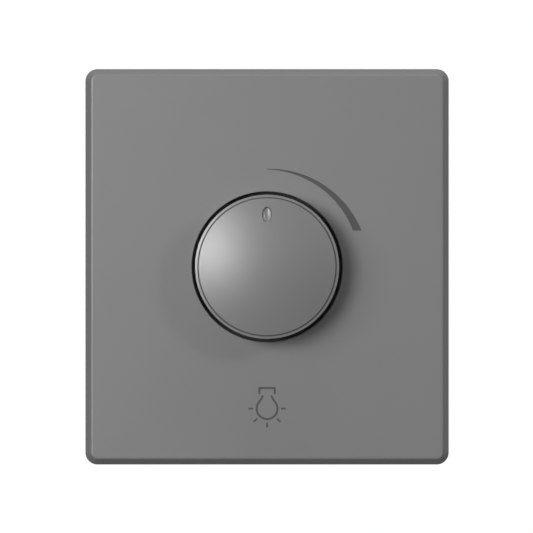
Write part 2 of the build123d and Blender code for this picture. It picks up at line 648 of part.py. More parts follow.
# Control shaft: one flat for the knob, two flats that slide in the rotor, a groove for its clip
with BuildPart() as pot_shaft:
    with BuildSketch(at(SHAFT_SHOULDER)):
        Circle(SHAFT_RADIUS)
    extrude(amount=SHAFT_TOP - SHAFT_SHOULDER)
    chamfer(pot_shaft.edges().filter_by(GeomType.CIRCLE).sort_by(Axis.Y)[0], SHAFT_CHAMFER)
    with BuildSketch(at(SHAFT_TOP)):
        with Locations((0, FLAT_OFFSET)):
            Rectangle(4 * SHAFT_RADIUS, 2 * SHAFT_RADIUS, align=(Align.CENTER, Align.MIN))
    extrude(amount=BOSS_BOTTOM - FLAT_RUNOUT - SHAFT_TOP, mode=Mode.SUBTRACT)
    with BuildSketch(at(SHAFT_SHOULDER)):
        drive_shape(0)
    extrude(amount=SHAFT_END - SHAFT_SHOULDER)
    with BuildSketch(at(CLIP_REAR - CLIP_CLEAR)):
        Circle(2 * SHAFT_RADIUS)
        Circle(CLIP_GROOVE_RADIUS, mode=Mode.SUBTRACT)
    extrude(amount=CLIP_THICK + 2 * CLIP_CLEAR, mode=Mode.SUBTRACT)

# Open retaining clip in the shaft's groove
with BuildPart() as shaft_clip:
    with BuildSketch(at(CLIP_REAR)):
        Circle(CLIP_RADIUS)
        Circle(CLIP_GROOVE_RADIUS + CLIP_CLEAR, mode=Mode.SUBTRACT)
        Rectangle(
            2 * (CLIP_GROOVE_RADIUS - CLIP_CLEAR),
            2 * CLIP_RADIUS,
            align=(Align.CENTER, Align.MAX),
            mode=Mode.SUBTRACT,
        )
    extrude(amount=CLIP_THICK)

# Threaded bush that carries the shaft, with its flange behind the heat sink
with BuildPart() as pot_bush:
    with BuildSketch(SECTION):
        with BuildLine():
            Polyline(
                (BUSH_BORE, FLANGE_REAR),
                (WAFER_RADIUS, FLANGE_REAR),
                (WAFER_RADIUS, -SINK_THICK),
                (BUSH_RADIUS, -SINK_THICK),
                (BUSH_RADIUS, BUSH_TOP - BUSH_CHAMFER),
                (BUSH_RADIUS - BUSH_CHAMFER, BUSH_TOP),
                (BUSH_BORE, BUSH_TOP),
                close=True,
            )
        make_face()
    revolve(axis=Axis.Y)

with BuildPart() as bush_washer:
    with BuildSketch(at(FRAME_BASE)):
        Circle(WASHER_RADIUS)
        Circle(BUSH_RADIUS + THREAD_FIT, mode=Mode.SUBTRACT)
    extrude(amount=WASHER_THICK)

with BuildPart() as bush_nut:
    with BuildSketch(at(FRAME_BASE + WASHER_THICK)):
        RegularPolygon(NUT_ACROSS / 2, 6, major_radius=False)
        Circle(BUSH_RADIUS + THREAD_FIT, mode=Mode.SUBTRACT)
    extrude(amount=NUT_THICK)

# Potentiometer case: a cup with a stop for the rotor's lug and an opening for the three pins
with BuildPart() as pot_case:
    with BuildSketch(at(CASE_FRONT)):
        Circle(CASE_RADIUS)
    extrude(amount=-CASE_DEPTH)
    with BuildSketch(at(CASE_FRONT)):
        Circle(CASE_INNER)
    extrude(amount=CASE_FLOOR - CASE_FRONT, mode=Mode.SUBTRACT)
    with BuildSketch(at(CASE_FLOOR)):
        arc_band(STOP_INNER, CASE_INNER + CASE_WALL / 2, -90, STOP_HALF_ANGLE)
    extrude(amount=DISC_FRONT - CASE_FLOOR)
    with BuildSketch(at(CASE_FLOOR)):
        Circle(SHAFT_RADIUS + SHAFT_PASS)
    extrude(amount=-CASE_WALL, mode=Mode.SUBTRACT)
    with BuildSketch(at(CASE_FRONT)):
        with Locations((0, -CASE_RADIUS)):
            Rectangle(2 * PIN_SPACING + PIN_WIDTH + 2 * PIN_SIDE_CLEAR, CASE_RADIUS)
    extrude(amount=WAFER_REAR - PIN_THICK - LEAD_CLEAR - CASE_FRONT, mode=Mode.SUBTRACT)

# Wafer that carries the resistive track, and its three pins down to the board
with BuildPart() as track_wafer:
    with BuildSketch(at(FLANGE_REAR)):
        Circle(WAFER_RADIUS)
        Circle(SHAFT_RADIUS + SHAFT_PASS, mode=Mode.SUBTRACT)
    extrude(amount=-WAFER_THICK)

with BuildPart() as pot_pins:
    for place in PIN_PLACES:
        start = sqrt((DISC_RADIUS + PIN_CLEAR) ** 2 - place**2)
        with BuildSketch(Plane.YZ.offset(place - PIN_WIDTH / 2)):
            with BuildLine():
                Polyline(
                    (-WAFER_REAR, -start),
                    (-WAFER_REAR, -PIN_DROP - PIN_THICK / 2),
                    (-TAIL_END, -PIN_DROP - PIN_THICK / 2),
                    (-TAIL_END, -PIN_DROP + PIN_THICK / 2),
                    (-WAFER_REAR + PIN_THICK, -PIN_DROP + PIN_THICK / 2),
                    (-WAFER_REAR + PIN_THICK, -start),
                    close=True,
                )
            make_face()
        extrude(amount=PIN_WIDTH)

# Rotor turned by the shaft's flats, with a lug that meets the case's stop at each end of the turn
with BuildPart() as wiper_rotor:
    with BuildSketch(at(HUB_FRONT)):
        Circle(HUB_RADIUS)
    extrude(amount=HUB_REAR - HUB_FRONT)
    with BuildSketch(at(DISC_FRONT)):
        Circle(DISC_RADIUS)
        arc_band(HUB_RADIUS, LUG_RADIUS, 90, LUG_HALF_ANGLE)
    extrude(amount=-DISC_THICK)
    with BuildSketch(at(HUB_FRONT)):
        drive_shape(SHAFT_FIT)
    extrude(amount=HUB_REAR - HUB_FRONT, mode=Mode.SUBTRACT)

# Spring leaf on the rotor, with two fingers that reach for the track
with BuildPart() as wiper_contact:
    with BuildSketch(at(DISC_FRONT)):
        arc_band(LEAF_OUTER - LEAF_WIDTH, LEAF_OUTER, 90, LEAF_HALF_ANGLE)
    extrude(amount=LEAF_THICK)
    with BuildSketch(at(DISC_FRONT + LEAF_THICK)):
        for place in (90 - FINGER_ANGLE, 90 + FINGER_ANGLE):
            arc_band(LEAF_OUTER - LEAF_WIDTH, LEAF_OUTER, place, FINGER_HALF_ANGLE)
    extrude(amount=WAFER_REAR - FINGER_CLEAR - DISC_FRONT - LEAF_THICK)

# Push switch: case on the board, plunger under the shaft's end, return spring and four pins
with BuildPart() as switch_case:
    with BuildSketch(at(CASE_REAR)):
        RectangleRounded(SWITCH_WIDTH, SWITCH_WIDTH, SWITCH_CORNER)
    extrude(amount=-SWITCH_DEPTH)
    with BuildSketch(at(CASE_REAR)):
        Circle(SWITCH_MOUTH_RADIUS)
    extrude(amount=SWITCH_MOUTH_END - CASE_REAR, mode=Mode.SUBTRACT)
    with BuildSketch(at(CASE_REAR)):
        Circle(PLUNGER_RADIUS + PLUNGER_FIT)
    extrude(amount=SWITCH_INSIDE - CASE_REAR, mode=Mode.SUBTRACT)

with BuildPart() as switch_plunger:
    with BuildSketch(at(PLUNGER_FRONT)):
        Circle(PLUNGER_RADIUS)
    extrude(amount=-PLUNGER_HEAD)
    with BuildSketch(at(PLUNGER_REAR)):
        Circle(STEM_RADIUS)
    extrude(amount=STEM_END - PLUNGER_REAR)

spring_start = SWITCH_INSIDE + SPRING_WIRE + SPRING_CLEAR
spring_height = PLUNGER_REAR - SPRING_WIRE - SPRING_CLEAR - spring_start
with BuildPart() as switch_spring:
    with BuildLine() as coil:
        Helix(
            spring_height / SPRING_TURNS,
            spring_height,
            SPRING_RADIUS,
            center=(0, -spring_start, 0),
            direction=(0, -1, 0),
        )
    with BuildSketch(Plane(origin=coil.line @ 0, z_dir=coil.line % 0)):
        Circle(SPRING_WIRE)
    sweep(path=coil.line)

with BuildPart() as switch_pins:
    with BuildSketch(at(BOARD_FRONT)):
        with Locations(*SWITCH_LEADS):
            Circle(LEAD_RADIUS)
    extrude(amount=TAIL_END - BOARD_FRONT)

# Heat sink plate: closes the housing and carries the bush and the triac
with BuildPart() as heat_sink_plate:
    with BuildSketch(at(0)):
        RectangleRounded(HOUSING_WIDTH, HOUSING_HEIGHT, HOUSING_CORNER)
        Circle(BUSH_HOLE, mode=Mode.SUBTRACT)
        with Locations(*SCREW_PLACES, (TRIAC_X, TAB_HOLE_Z)):
            Circle(SCREW_RADIUS + SCREW_CLEAR, mode=Mode.SUBTRACT)
    extrude(amount=-SINK_THICK)

# Rear housing: open box with screw bosses, board supports, vents and three open terminal bays
with BuildPart() as rear_housing:
    with BuildSketch(at(-SINK_THICK)):
        RectangleRounded(HOUSING_WIDTH, HOUSING_HEIGHT, HOUSING_CORNER)
    extrude(amount=HOUSING_REAR + SINK_THICK)
    fillet(rear_housing.faces().sort_by(Axis.Y)[-1].edges(), HOUSING_ROUND)
    with BuildSketch(at(-SINK_THICK)):
        with Locations((0, (ROOM_TOP + ROOM_BOTTOM) / 2)):
            RectangleRounded(2 * ROOM_SIDE, ROOM_TOP - ROOM_BOTTOM, CAVITY_ROUND)
    extrude(amount=HOUSING_FLOOR + SINK_THICK, mode=Mode.SUBTRACT)
    with BuildSketch(at(-SINK_THICK)):
        RectangleRounded(2 * ROOM_SIDE, 2 * ROOM_TOP, CAVITY_ROUND)
    extrude(amount=BAY_FLOOR + BAY_WALL + SINK_THICK, mode=Mode.SUBTRACT)
    # Screw bosses: the upper pair stands on the floor, the lower pair on the terminal bays' roof
    with BuildSketch(at(-SINK_THICK)):
        with Locations(*UPPER_PLACES):
            Circle(BOSS_RADIUS)
    extrude(amount=HOUSING_FLOOR + SINK_THICK)
    with BuildSketch(at(-SINK_THICK)):
        with Locations(*LOWER_PLACES):
            Circle(BOSS_RADIUS)
    extrude(amount=BAY_FLOOR + SINK_THICK)
    # Shoulders on the upper bosses and two short posts hold the board up
    with BuildSketch(at(HOUSING_FLOOR)):
        with Locations(*UPPER_PLACES):
            Circle(BOSS_RADIUS + BOSS_SHOULDER)
        with Locations(*[(k * (ROOM_SIDE - POST_INSET), ROOM_BOTTOM + POST_INSET) for k in (-1, 1)]):
            Circle(POST_RADIUS)
        Rectangle(2 * ROOM_SIDE + HOUSING_WALL, 2 * ROOM_TOP + HOUSING_WALL, mode=Mode.INTERSECT)
    extrude(amount=POST_HEIGHT)
    with BuildSketch(at(-SINK_THICK)):
        with Locations(*SCREW_PLACES):
            Circle(SCREW_RADIUS + PILOT_CLEAR)
    extrude(amount=-SCREW_BITE - SCREW_TIP_CLEAR, mode=Mode.SUBTRACT)
    # Terminal bays, open to the rear and to the bottom
    with BuildSketch(at(HOUSING_REAR)):
        with Locations(*[(place, -HOUSING_HEIGHT / 2) for place in TERMINAL_PLACES]):
            Rectangle(PILLAR_WIDTH + 2 * BAY_CLEAR, 2 * (BAY_TOP + HOUSING_HEIGHT / 2))
    extrude(amount=BAY_DEPTH, mode=Mode.SUBTRACT)
    # Slots that let the terminal lugs through to the board
    with BuildSketch(at(BOARD_FRONT - LEAD_CLEAR)):
        with Locations(*[(place, (BAY_TOP + ROOM_BOTTOM) / 2) for place in TERMINAL_PLACES]):
            Rectangle(LUG_WIDTH + 2 * LEAD_CLEAR, 2 * BAY_WALL)
    extrude(amount=LUG_THICK + 2 * LEAD_CLEAR, mode=Mode.SUBTRACT)
    # Vents in the top wall
    with BuildSketch(Plane.XY.offset(HOUSING_HEIGHT / 2)):
        with Locations((0, -(HOUSING_REAR - SINK_THICK) / 2)):
            with GridLocations(VENT_SPACING, 0, VENT_COUNT, 1):
                SlotOverall(VENT_LENGTH, VENT_WIDTH, rotation=90)
    extrude(amount=-HOUSING_WALL, mode=Mode.SUBTRACT)

# Four pan-head screws that clamp the frame, the heat sink and the housing together
with BuildPart() as housing_screws:
    with BuildSketch(at(FRAME_BASE)):
        with Locations(*SCREW_PLACES):
            Circle(SCREW_HEAD_RADIUS)
    extrude(amount=SCREW_HEAD)
    with BuildSketch(at(FRAME_BASE)):
        with Locations(*SCREW_PLACES):
            Circle(SCREW_RADIUS)
    extrude(amount=SCREW_END - FRAME_BASE)
    with BuildSketch(at(FRAME_BASE + SCREW_HEAD)):
        with Locations(*SCREW_PLACES):
            Rectangle(RECESS_LENGTH, RECESS_WIDTH)
            Rectangle(RECESS_WIDTH, RECESS_LENGTH)
    extrude(amount=-RECESS_DEPTH, mode=Mode.SUBTRACT)

# Circuit board, notched round the upper bosses and drilled for every lead
with BuildPart() as circuit_board:
    with BuildSketch(at(BOARD_FRONT)):
        with Locations((0, (ROOM_TOP + ROOM_BOTTOM) / 2)):
            RectangleRounded(
                2 * (ROOM_SIDE - BOARD_CLEAR), ROOM_TOP - ROOM_BOTTOM - 2 * BOARD_CLEAR, CAVITY_ROUND
            )
        with Locations(*UPPER_PLACES):
            Circle(BOSS_RADIUS + BOARD_CLEAR, mode=Mode.SUBTRACT)
        with Locations(*ROUND_LEADS):
            Circle(LEAD_RADIUS + LEAD_CLEAR, mode=Mode.SUBTRACT)
        with Locations(*FLAT_LEADS):
            Rectangle(PIN_WIDTH + LEAD_CLEAR, PIN_THICK + 2 * LEAD_CLEAR, mode=Mode.SUBTRACT)
    extrude(amount=-BOARD_THICK)

# Suppression choke: a ring core standing on the board, and its turns of thick wire
with BuildPart() as choke_core:
    with BuildSketch(Plane.XY.offset(CHOKE_Z - CORE_HEIGHT / 2)):
        with Locations((CHOKE_X, -CHOKE_HEIGHT)):
            Circle(CORE_RADIUS)
            Circle(CORE_BORE, mode=Mode.SUBTRACT)
    extrude(amount=CORE_HEIGHT)

with BuildPart() as choke_winding:
    for turn in range(TURN_COUNT):
        outward = Vector(sin(turn * TURN_STEP), cos(turn * TURN_STEP), 0)
        along = Vector(cos(turn * TURN_STEP), -sin(turn * TURN_STEP), 0)
        middle = Vector(CHOKE_X, -CHOKE_HEIGHT, CHOKE_Z) + outward * ((CORE_RADIUS + CORE_BORE) / 2)
        with BuildSketch(Plane(origin=middle, x_dir=outward, z_dir=along)):
            Rectangle(CORE_RADIUS - CORE_BORE + 2 * TURN_WIRE, CORE_HEIGHT + 2 * TURN_WIRE)
            Rectangle(
                CORE_RADIUS - CORE_BORE + 2 * TURN_CLEAR,
                CORE_HEIGHT + 2 * TURN_CLEAR,
                mode=Mode.SUBTRACT,
            )
        extrude(amount=TURN_WIRE / 2, both=True)
    with BuildSketch(at(CHOKE_LEAD_TOP)):
        with Locations(*CHOKE_LEADS):
            Circle(LEAD_RADIUS)
    extrude(amount=TAIL_END - CHOKE_LEAD_TOP)


def film_block(place, length, width, height, leads):
    """Makes a moulded film capacitor standing on the board, with its two leads."""
    with BuildPart() as block:
        with BuildSketch(at(BOARD_FRONT)):
            with Locations(place):
                Rectangle(length, width)
        extrude(amount=height)
        fillet(block.faces().sort_by(Axis.Y)[0].edges(), CAPACITOR_ROUND)
        with BuildSketch(at(BOARD_FRONT)):
            with Locations(*leads):
                Circle(LEAD_RADIUS)
        extrude(amount=TAIL_END - BOARD_FRONT)
    return block


film_capacitor = film_block(
    (CAPACITOR_X, CAPACITOR_Z), CAPACITOR_LENGTH, CAPACITOR_WIDTH, CAPACITOR_HEIGHT, CAPACITOR_LEADS
)
timing_capacitor = film_block(
    (TIMING_X, TIMING_Z), TIMING_LENGTH, TIMING_WIDTH, TIMING_HEIGHT, TIMING_LEADS
)

# Fuse: glass tube, a cap on each end, and the two clips that hold it
with BuildPart() as fuse_tube:
    with BuildSketch(Plane.XY.offset(FUSE_BOTTOM + FUSE_CAP_WALL)):
        with Locations((FUSE_X, -FUSE_HEIGHT)):
            Circle(FUSE_RADIUS)
            Circle(FUSE_BORE, mode=Mode.SUBTRACT)
    extrude(amount=FUSE_LENGTH - 2 * FUSE_CAP_WALL)

with BuildPart() as fuse_caps:
    for start, reach in ((FUSE_BOTTOM, 1), (FUSE_TOP, -1)):
        with BuildSketch(Plane.XY.offset(start)):
            with Locations((FUSE_X, -FUSE_HEIGHT)):
                Circle(CAP_RADIUS)
        extrude(amount=reach * FUSE_CAP_LENGTH)
        with BuildSketch(Plane.XY.offset(start + reach * FUSE_CAP_WALL)):
            with Locations((FUSE_X, -FUSE_HEIGHT)):
                Circle(FUSE_RADIUS + FUSE_CLEAR)
        extrude(amount=reach * (FUSE_CAP_LENGTH - FUSE_CAP_WALL), mode=Mode.SUBTRACT)

clip_inside = 2 * (CAP_RADIUS + FUSE_CLIP_CLEAR)
with BuildPart() as fuse_clips:
    for place in CLIP_PLACES:
        with BuildSketch(Plane.XY.offset(place - FUSE_CLIP_WIDTH / 2)):
            with Locations((FUSE_X, -BOARD_FRONT)):
                Rectangle(
                    clip_inside + 2 * FUSE_CLIP_WALL,
                    FUSE_LIFT + FUSE_RADIUS / 2,
                    align=(Align.CENTER, Align.MAX),
                )
            with Locations((FUSE_X, -BOARD_FRONT - FUSE_CLIP_WALL)):
                Rectangle(
                    clip_inside,
                    FUSE_LIFT + FUSE_RADIUS,
                    align=(Align.CENTER, Align.MAX),
                    mode=Mode.SUBTRACT,
                )
        extrude(amount=FUSE_CLIP_WIDTH)
    with BuildSketch(at(BOARD_FRONT)):
        with Locations(*FUSE_LEADS):
            Circle(LEAD_RADIUS)
    extrude(amount=TAIL_END - BOARD_FRONT)


def axial_part(place, radius, length):
    """Makes a lying cylinder with one bent wire through it and down into the board at both ends."""
    height = BOARD_FRONT + RESISTOR_LIFT + radius
    with BuildPart() as body:
        with BuildSketch(Plane.YZ.offset(RESISTOR_X - length / 2)):
            with Locations((-height, place)):
                Circle(radius)
        extrude(amount=length)
        with BuildLine() as wire:
            FilletPolyline(
                (RESISTOR_X - RESISTOR_SPAN / 2, -TAIL_END, place),
                (RESISTOR_X - RESISTOR_SPAN / 2, -height, place),
                (RESISTOR_X + RESISTOR_SPAN / 2, -height, place),
                (RESISTOR_X + RESISTOR_SPAN / 2, -TAIL_END, place),
                radius=RESISTOR_BEND,
            )
        with BuildSketch(Plane(origin=wire.line @ 0, z_dir=wire.line % 0)):
            Circle(LEAD_RADIUS)
        sweep(path=wire.line)
    return body


resistor_bodies = [axial_part(place, RESISTOR_RADIUS, RESISTOR_LENGTH) for place in RESISTOR_PLACES]
with BuildPart() as resistors:
    for body in resistor_bodies:
        add(body.part)

trigger_diode = axial_part(DIAC_Z, DIAC_RADIUS, DIAC_LENGTH)

# Triac: insulating pad, metal lead frame, moulded body, and the screw and nut that clamp it
with BuildPart() as triac_pad:
    with BuildSketch(at(-SINK_THICK)):
        with Locations((TRIAC_X, (TAB_TOP + TAB_BOTTOM) / 2)):
            Rectangle(TRIAC_WIDTH + 2 * PAD_MARGIN, TAB_LENGTH + 2 * PAD_MARGIN)
        with Locations((TRIAC_X, TAB_HOLE_Z)):
            Circle(SCREW_RADIUS + SCREW_CLEAR, mode=Mode.SUBTRACT)
    extrude(amount=-PAD_THICK)

with BuildPart() as triac_lead_frame:
    with BuildSketch(at(TAB_FRONT)):
        with Locations((TRIAC_X, (TAB_TOP + TAB_BOTTOM) / 2)):
            Rectangle(TRIAC_WIDTH, TAB_LENGTH)
        with Locations((TRIAC_X, TAB_HOLE_Z)):
            Circle(SCREW_RADIUS + SCREW_CLEAR, mode=Mode.SUBTRACT)
    extrude(amount=-TAB_THICK)
    for place in TRIAC_LEAD_PLACES:
        with BuildSketch(Plane.YZ.offset(place - TRIAC_LEAD_WIDTH / 2)):
            with BuildLine():
                Polyline(
                    (TRIAC_LEAD_SET - TAB_REAR, TAB_BOTTOM),
                    (TRIAC_LEAD_SET - TAB_REAR, TRIAC_LEAD_Z - TRIAC_LEAD_THICK / 2),
                    (-TAIL_END, TRIAC_LEAD_Z - TRIAC_LEAD_THICK / 2),
                    (-TAIL_END, TRIAC_LEAD_Z + TRIAC_LEAD_THICK / 2),
                    (
                        TRIAC_LEAD_SET - TAB_REAR + TRIAC_LEAD_THICK,
                        TRIAC_LEAD_Z + TRIAC_LEAD_THICK / 2,
                    ),
                    (TRIAC_LEAD_SET - TAB_REAR + TRIAC_LEAD_THICK, TAB_BOTTOM),
                    close=True,
                )
            make_face()
        extrude(amount=TRIAC_LEAD_WIDTH)

with BuildPart() as triac_body:
    with BuildSketch(at(TAB_REAR)):
        with Locations((TRIAC_X, TAB_BOTTOM + TRIAC_LENGTH / 2)):
            Rectangle(TRIAC_WIDTH, TRIAC_LENGTH)
    extrude(amount=-TRIAC_THICK)

with BuildPart() as triac_nut:
    with BuildSketch(at(TAB_REAR)):
        with Locations((TRIAC_X, TAB_HOLE_Z)):
            RegularPolygon(TRIAC_NUT_ACROSS / 2, 6, major_radius=False)
            Circle(SCREW_RADIUS + PILOT_CLEAR, mode=Mode.SUBTRACT)
    extrude(amount=-TRIAC_NUT_THICK)

with BuildPart() as triac_screw:
    with BuildSketch(at(0)):
        with Locations((TRIAC_X, TAB_HOLE_Z)):
            Circle(SCREW_HEAD_RADIUS)
    extrude(amount=SCREW_HEAD)
    with BuildSketch(at(0)):
        with Locations((TRIAC_X, TAB_HOLE_Z)):
            Circle(SCREW_RADIUS)
    extrude(amount=TAB_REAR - TRIAC_NUT_THICK - SCREW_PROUD)
    with BuildSketch(at(SCREW_HEAD)):
        with Locations((TRIAC_X, TAB_HOLE_Z)):
            Rectangle(RECESS_LENGTH, RECESS_WIDTH)
            Rectangle(RECESS_WIDTH, RECESS_LENGTH)
    extrude(amount=-RECESS_DEPTH, mode=Mode.SUBTRACT)

# Brass pillar terminals with a wire bore from below and a lug soldered to the board
with BuildPart() as terminal_pillars:
    for place in TERMINAL_PLACES:
        with BuildSketch(at(BAY_FLOOR)):
            with Locations((place, PILLAR_MIDDLE)):
                Rectangle(PILLAR_WIDTH, PILLAR_LENGTH)
        extrude(amount=-PILLAR_DEPTH)
        with BuildSketch(at(BOARD_FRONT)):
            with Locations((place, PILLAR_TOP)):
                Rectangle(LUG_WIDTH, LUG_TOP - PILLAR_TOP, align=(Align.CENTER, Align.MIN))
        extrude(amount=LUG_THICK)
        with BuildSketch(Plane.XY.offset(PILLAR_BOTTOM)):
            with Locations((place, -WIRE_HEIGHT)):
                Circle(WIRE_BORE_RADIUS)
        extrude(amount=PILLAR_LENGTH, mode=Mode.SUBTRACT)
        with BuildSketch(at(PILLAR_REAR)):
            with Locations((place, PILLAR_MIDDLE)):
                Circle(CLAMP_RADIUS + CLAMP_FIT)
        extrude(amount=WIRE_HEIGHT - PILLAR_REAR, mode=Mode.SUBTRACT)

with BuildPart() as terminal_screws:
    with BuildSketch(at(PILLAR_REAR)):
        with Locations(*[(place, PILLAR_MIDDLE) for place in TERMINAL_PLACES]):
            Circle(CLAMP_HEAD_RADIUS)
    extrude(amount=-CLAMP_HEAD)
    with BuildSketch(at(PILLAR_REAR)):
        with Locations(*[(place, PILLAR_MIDDLE) for place in TERMINAL_PLACES]):
            Circle(CLAMP_RADIUS)
    extrude(amount=CLAMP_TIP - PILLAR_REAR)
    with BuildSketch(at(PILLAR_REAR - CLAMP_HEAD)):
        with Locations(*[(place, PILLAR_MIDDLE) for place in TERMINAL_PLACES]):
            Rectangle(2 * CLAMP_HEAD_RADIUS, CLAMP_SLOT_WIDTH)
    extrude(amount=CLAMP_SLOT_DEPTH, mode=Mode.SUBTRACT)

PIECES = {
    "cover_plate": cover_plate,
    "mounting_frame": mounting_frame,
    "knob": knob,
    "knob_grip_ring": knob_grip_ring,
    "pot_shaft": pot_shaft,
    "shaft_clip": shaft_clip,
    "pot_bush": pot_bush,
    "bush_washer": bush_washer,
    "bush_nut": bush_nut,
    "pot_case": pot_case,
    "track_wafer": track_wafer,
    "pot_pins": pot_pins,
    "wiper_rotor": wiper_rotor,
    "wiper_contact": wiper_contact,
    "switch_case": switch_case,
    "switch_plunger": switch_plunger,
    "switch_spring": switch_spring,
    "switch_pins": switch_pins,
    "heat_sink_plate": heat_sink_plate,
    "rear_housing": rear_housing,
    "housing_screws": housing_screws,
    "circuit_board": circuit_board,
    "choke_core": choke_core,
    "choke_winding": choke_winding,
    "film_capacitor": film_capacitor,
    "timing_capacitor": timing_capacitor,
    "fuse_tube": fuse_tube,
    "fuse_caps": fuse_caps,
    "fuse_clips": fuse_clips,
    "resistors": resistors,
    "trigger_diode": trigger_diode,
    "triac_pad": triac_pad,
    "triac_lead_frame": triac_lead_frame,
    "triac_body": triac_body,
    "triac_nut": triac_nut,
    "triac_screw": triac_screw,
    "terminal_pillars": terminal_pillars,
    "terminal_screws": terminal_screws,
}

for name, piece in PIECES.items():
    piece.part.label = name
    export_step(piece.part, f"parts/{name}.step")
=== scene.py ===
# %% [markdown]
# # A push-and-turn dimmer switch
# A wall dimmer is a grey cover plate, a domed knob that turns and pushes, and behind them a black frame
# and a box of electrics. The solids of all these come from the CAD part, already in place and in metres.
# Blender's share is the look: what each surface is made of, the coil of the return spring, the two signs
# printed on the plate, and the light and the camera of the photograph.

# %% The solids and their frame
import json
from math import atan2, cos, pi, radians, sin

import bpy
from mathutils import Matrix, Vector


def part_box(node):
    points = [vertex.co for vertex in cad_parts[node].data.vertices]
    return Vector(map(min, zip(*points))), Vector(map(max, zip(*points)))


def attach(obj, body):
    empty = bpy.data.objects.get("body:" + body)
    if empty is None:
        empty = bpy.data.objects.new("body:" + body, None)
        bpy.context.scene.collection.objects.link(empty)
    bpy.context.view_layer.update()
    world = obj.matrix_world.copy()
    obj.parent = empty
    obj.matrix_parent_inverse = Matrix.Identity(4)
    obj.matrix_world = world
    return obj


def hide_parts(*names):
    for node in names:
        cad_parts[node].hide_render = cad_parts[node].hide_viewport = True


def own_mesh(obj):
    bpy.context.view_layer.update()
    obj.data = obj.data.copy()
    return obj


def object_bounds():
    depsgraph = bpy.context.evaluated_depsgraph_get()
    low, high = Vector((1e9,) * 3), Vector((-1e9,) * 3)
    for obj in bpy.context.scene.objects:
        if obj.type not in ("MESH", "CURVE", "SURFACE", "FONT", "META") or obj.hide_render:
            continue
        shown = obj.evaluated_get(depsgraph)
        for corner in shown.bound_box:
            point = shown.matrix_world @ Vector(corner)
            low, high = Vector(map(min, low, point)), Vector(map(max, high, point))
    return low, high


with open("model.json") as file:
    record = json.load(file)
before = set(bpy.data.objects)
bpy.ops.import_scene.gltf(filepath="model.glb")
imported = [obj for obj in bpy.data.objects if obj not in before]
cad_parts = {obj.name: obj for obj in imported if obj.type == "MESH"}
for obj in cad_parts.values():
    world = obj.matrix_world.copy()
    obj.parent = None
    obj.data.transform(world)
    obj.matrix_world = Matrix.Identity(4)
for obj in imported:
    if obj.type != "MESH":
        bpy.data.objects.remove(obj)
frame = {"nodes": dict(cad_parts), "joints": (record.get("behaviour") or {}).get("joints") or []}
CAD_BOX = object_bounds()
NODES = frame["nodes"]
MM = 0.001
print("loaded", len(NODES), "nodes; box in mm", [round((b - a) / MM, 1) for a, b in zip(*CAD_BOX)])

# %% [markdown]
# ## Sums on sockets
# A material is a sheet of nodes, and many of its nodes only add, subtract, multiply or compare. Wiring
# each of them by hand hides the idea, so a small class wraps a socket and lets Python's own signs do it:
# `1 - grain * 0.2` adds two Math nodes. The reflected forms, such as `__rsub__`, are there for the sums
# in which the plain number comes first.


# %% A socket that can stand in a sum
class Link:
    """A socket of a sheet of nodes. A sum with it adds a Math node to the same sheet."""

    def __init__(self, sheet, socket):
        self.sheet = sheet
        self.socket = socket

    def sum(self, operation, *terms):
        return self.sheet.node("Math", {"operation": operation}, dict(enumerate(terms)))

    def __add__(self, other):
        return self.sum("ADD", self, other)

    def __radd__(self, other):
        return self.sum("ADD", other, self)

    def __sub__(self, other):
        return self.sum("SUBTRACT", self, other)

    def __rsub__(self, other):
        return self.sum("SUBTRACT", other, self)

    def __mul__(self, other):
        return self.sum("MULTIPLY", self, other)

    def __rmul__(self, other):
        return self.sum("MULTIPLY", other, self)

    def __lt__(self, other):
        return self.sum("LESS_THAN", self, other)

    def __gt__(self, other):
        return self.sum("GREATER_THAN", self, other)

    def __abs__(self):
        return self.sum("ABSOLUTE", self)

    def at_most(self, limit):
        return self.sum("MINIMUM", self, limit)

    def folded(self, span):
        """Runs to and fro between 0 and span as the value grows, like a strip of folded paper."""
        return self.sum("PINGPONG", self, span)


print("sums ready:", [name for name in vars(Link) if name.startswith("__") and name != "__init__"])

# %% [markdown]
# ## One way to add any other node
# Every node that isn't a sum comes from one method. It takes the node's type, then its settings, which
# are set first because they can change which sockets there are, and then the values or links of its
# sockets. Everything below that makes a pattern is a short use of that method. A place on a piece is
# counted in real millimetres, so a pattern needs no unwrapping and has the same grain on every piece.


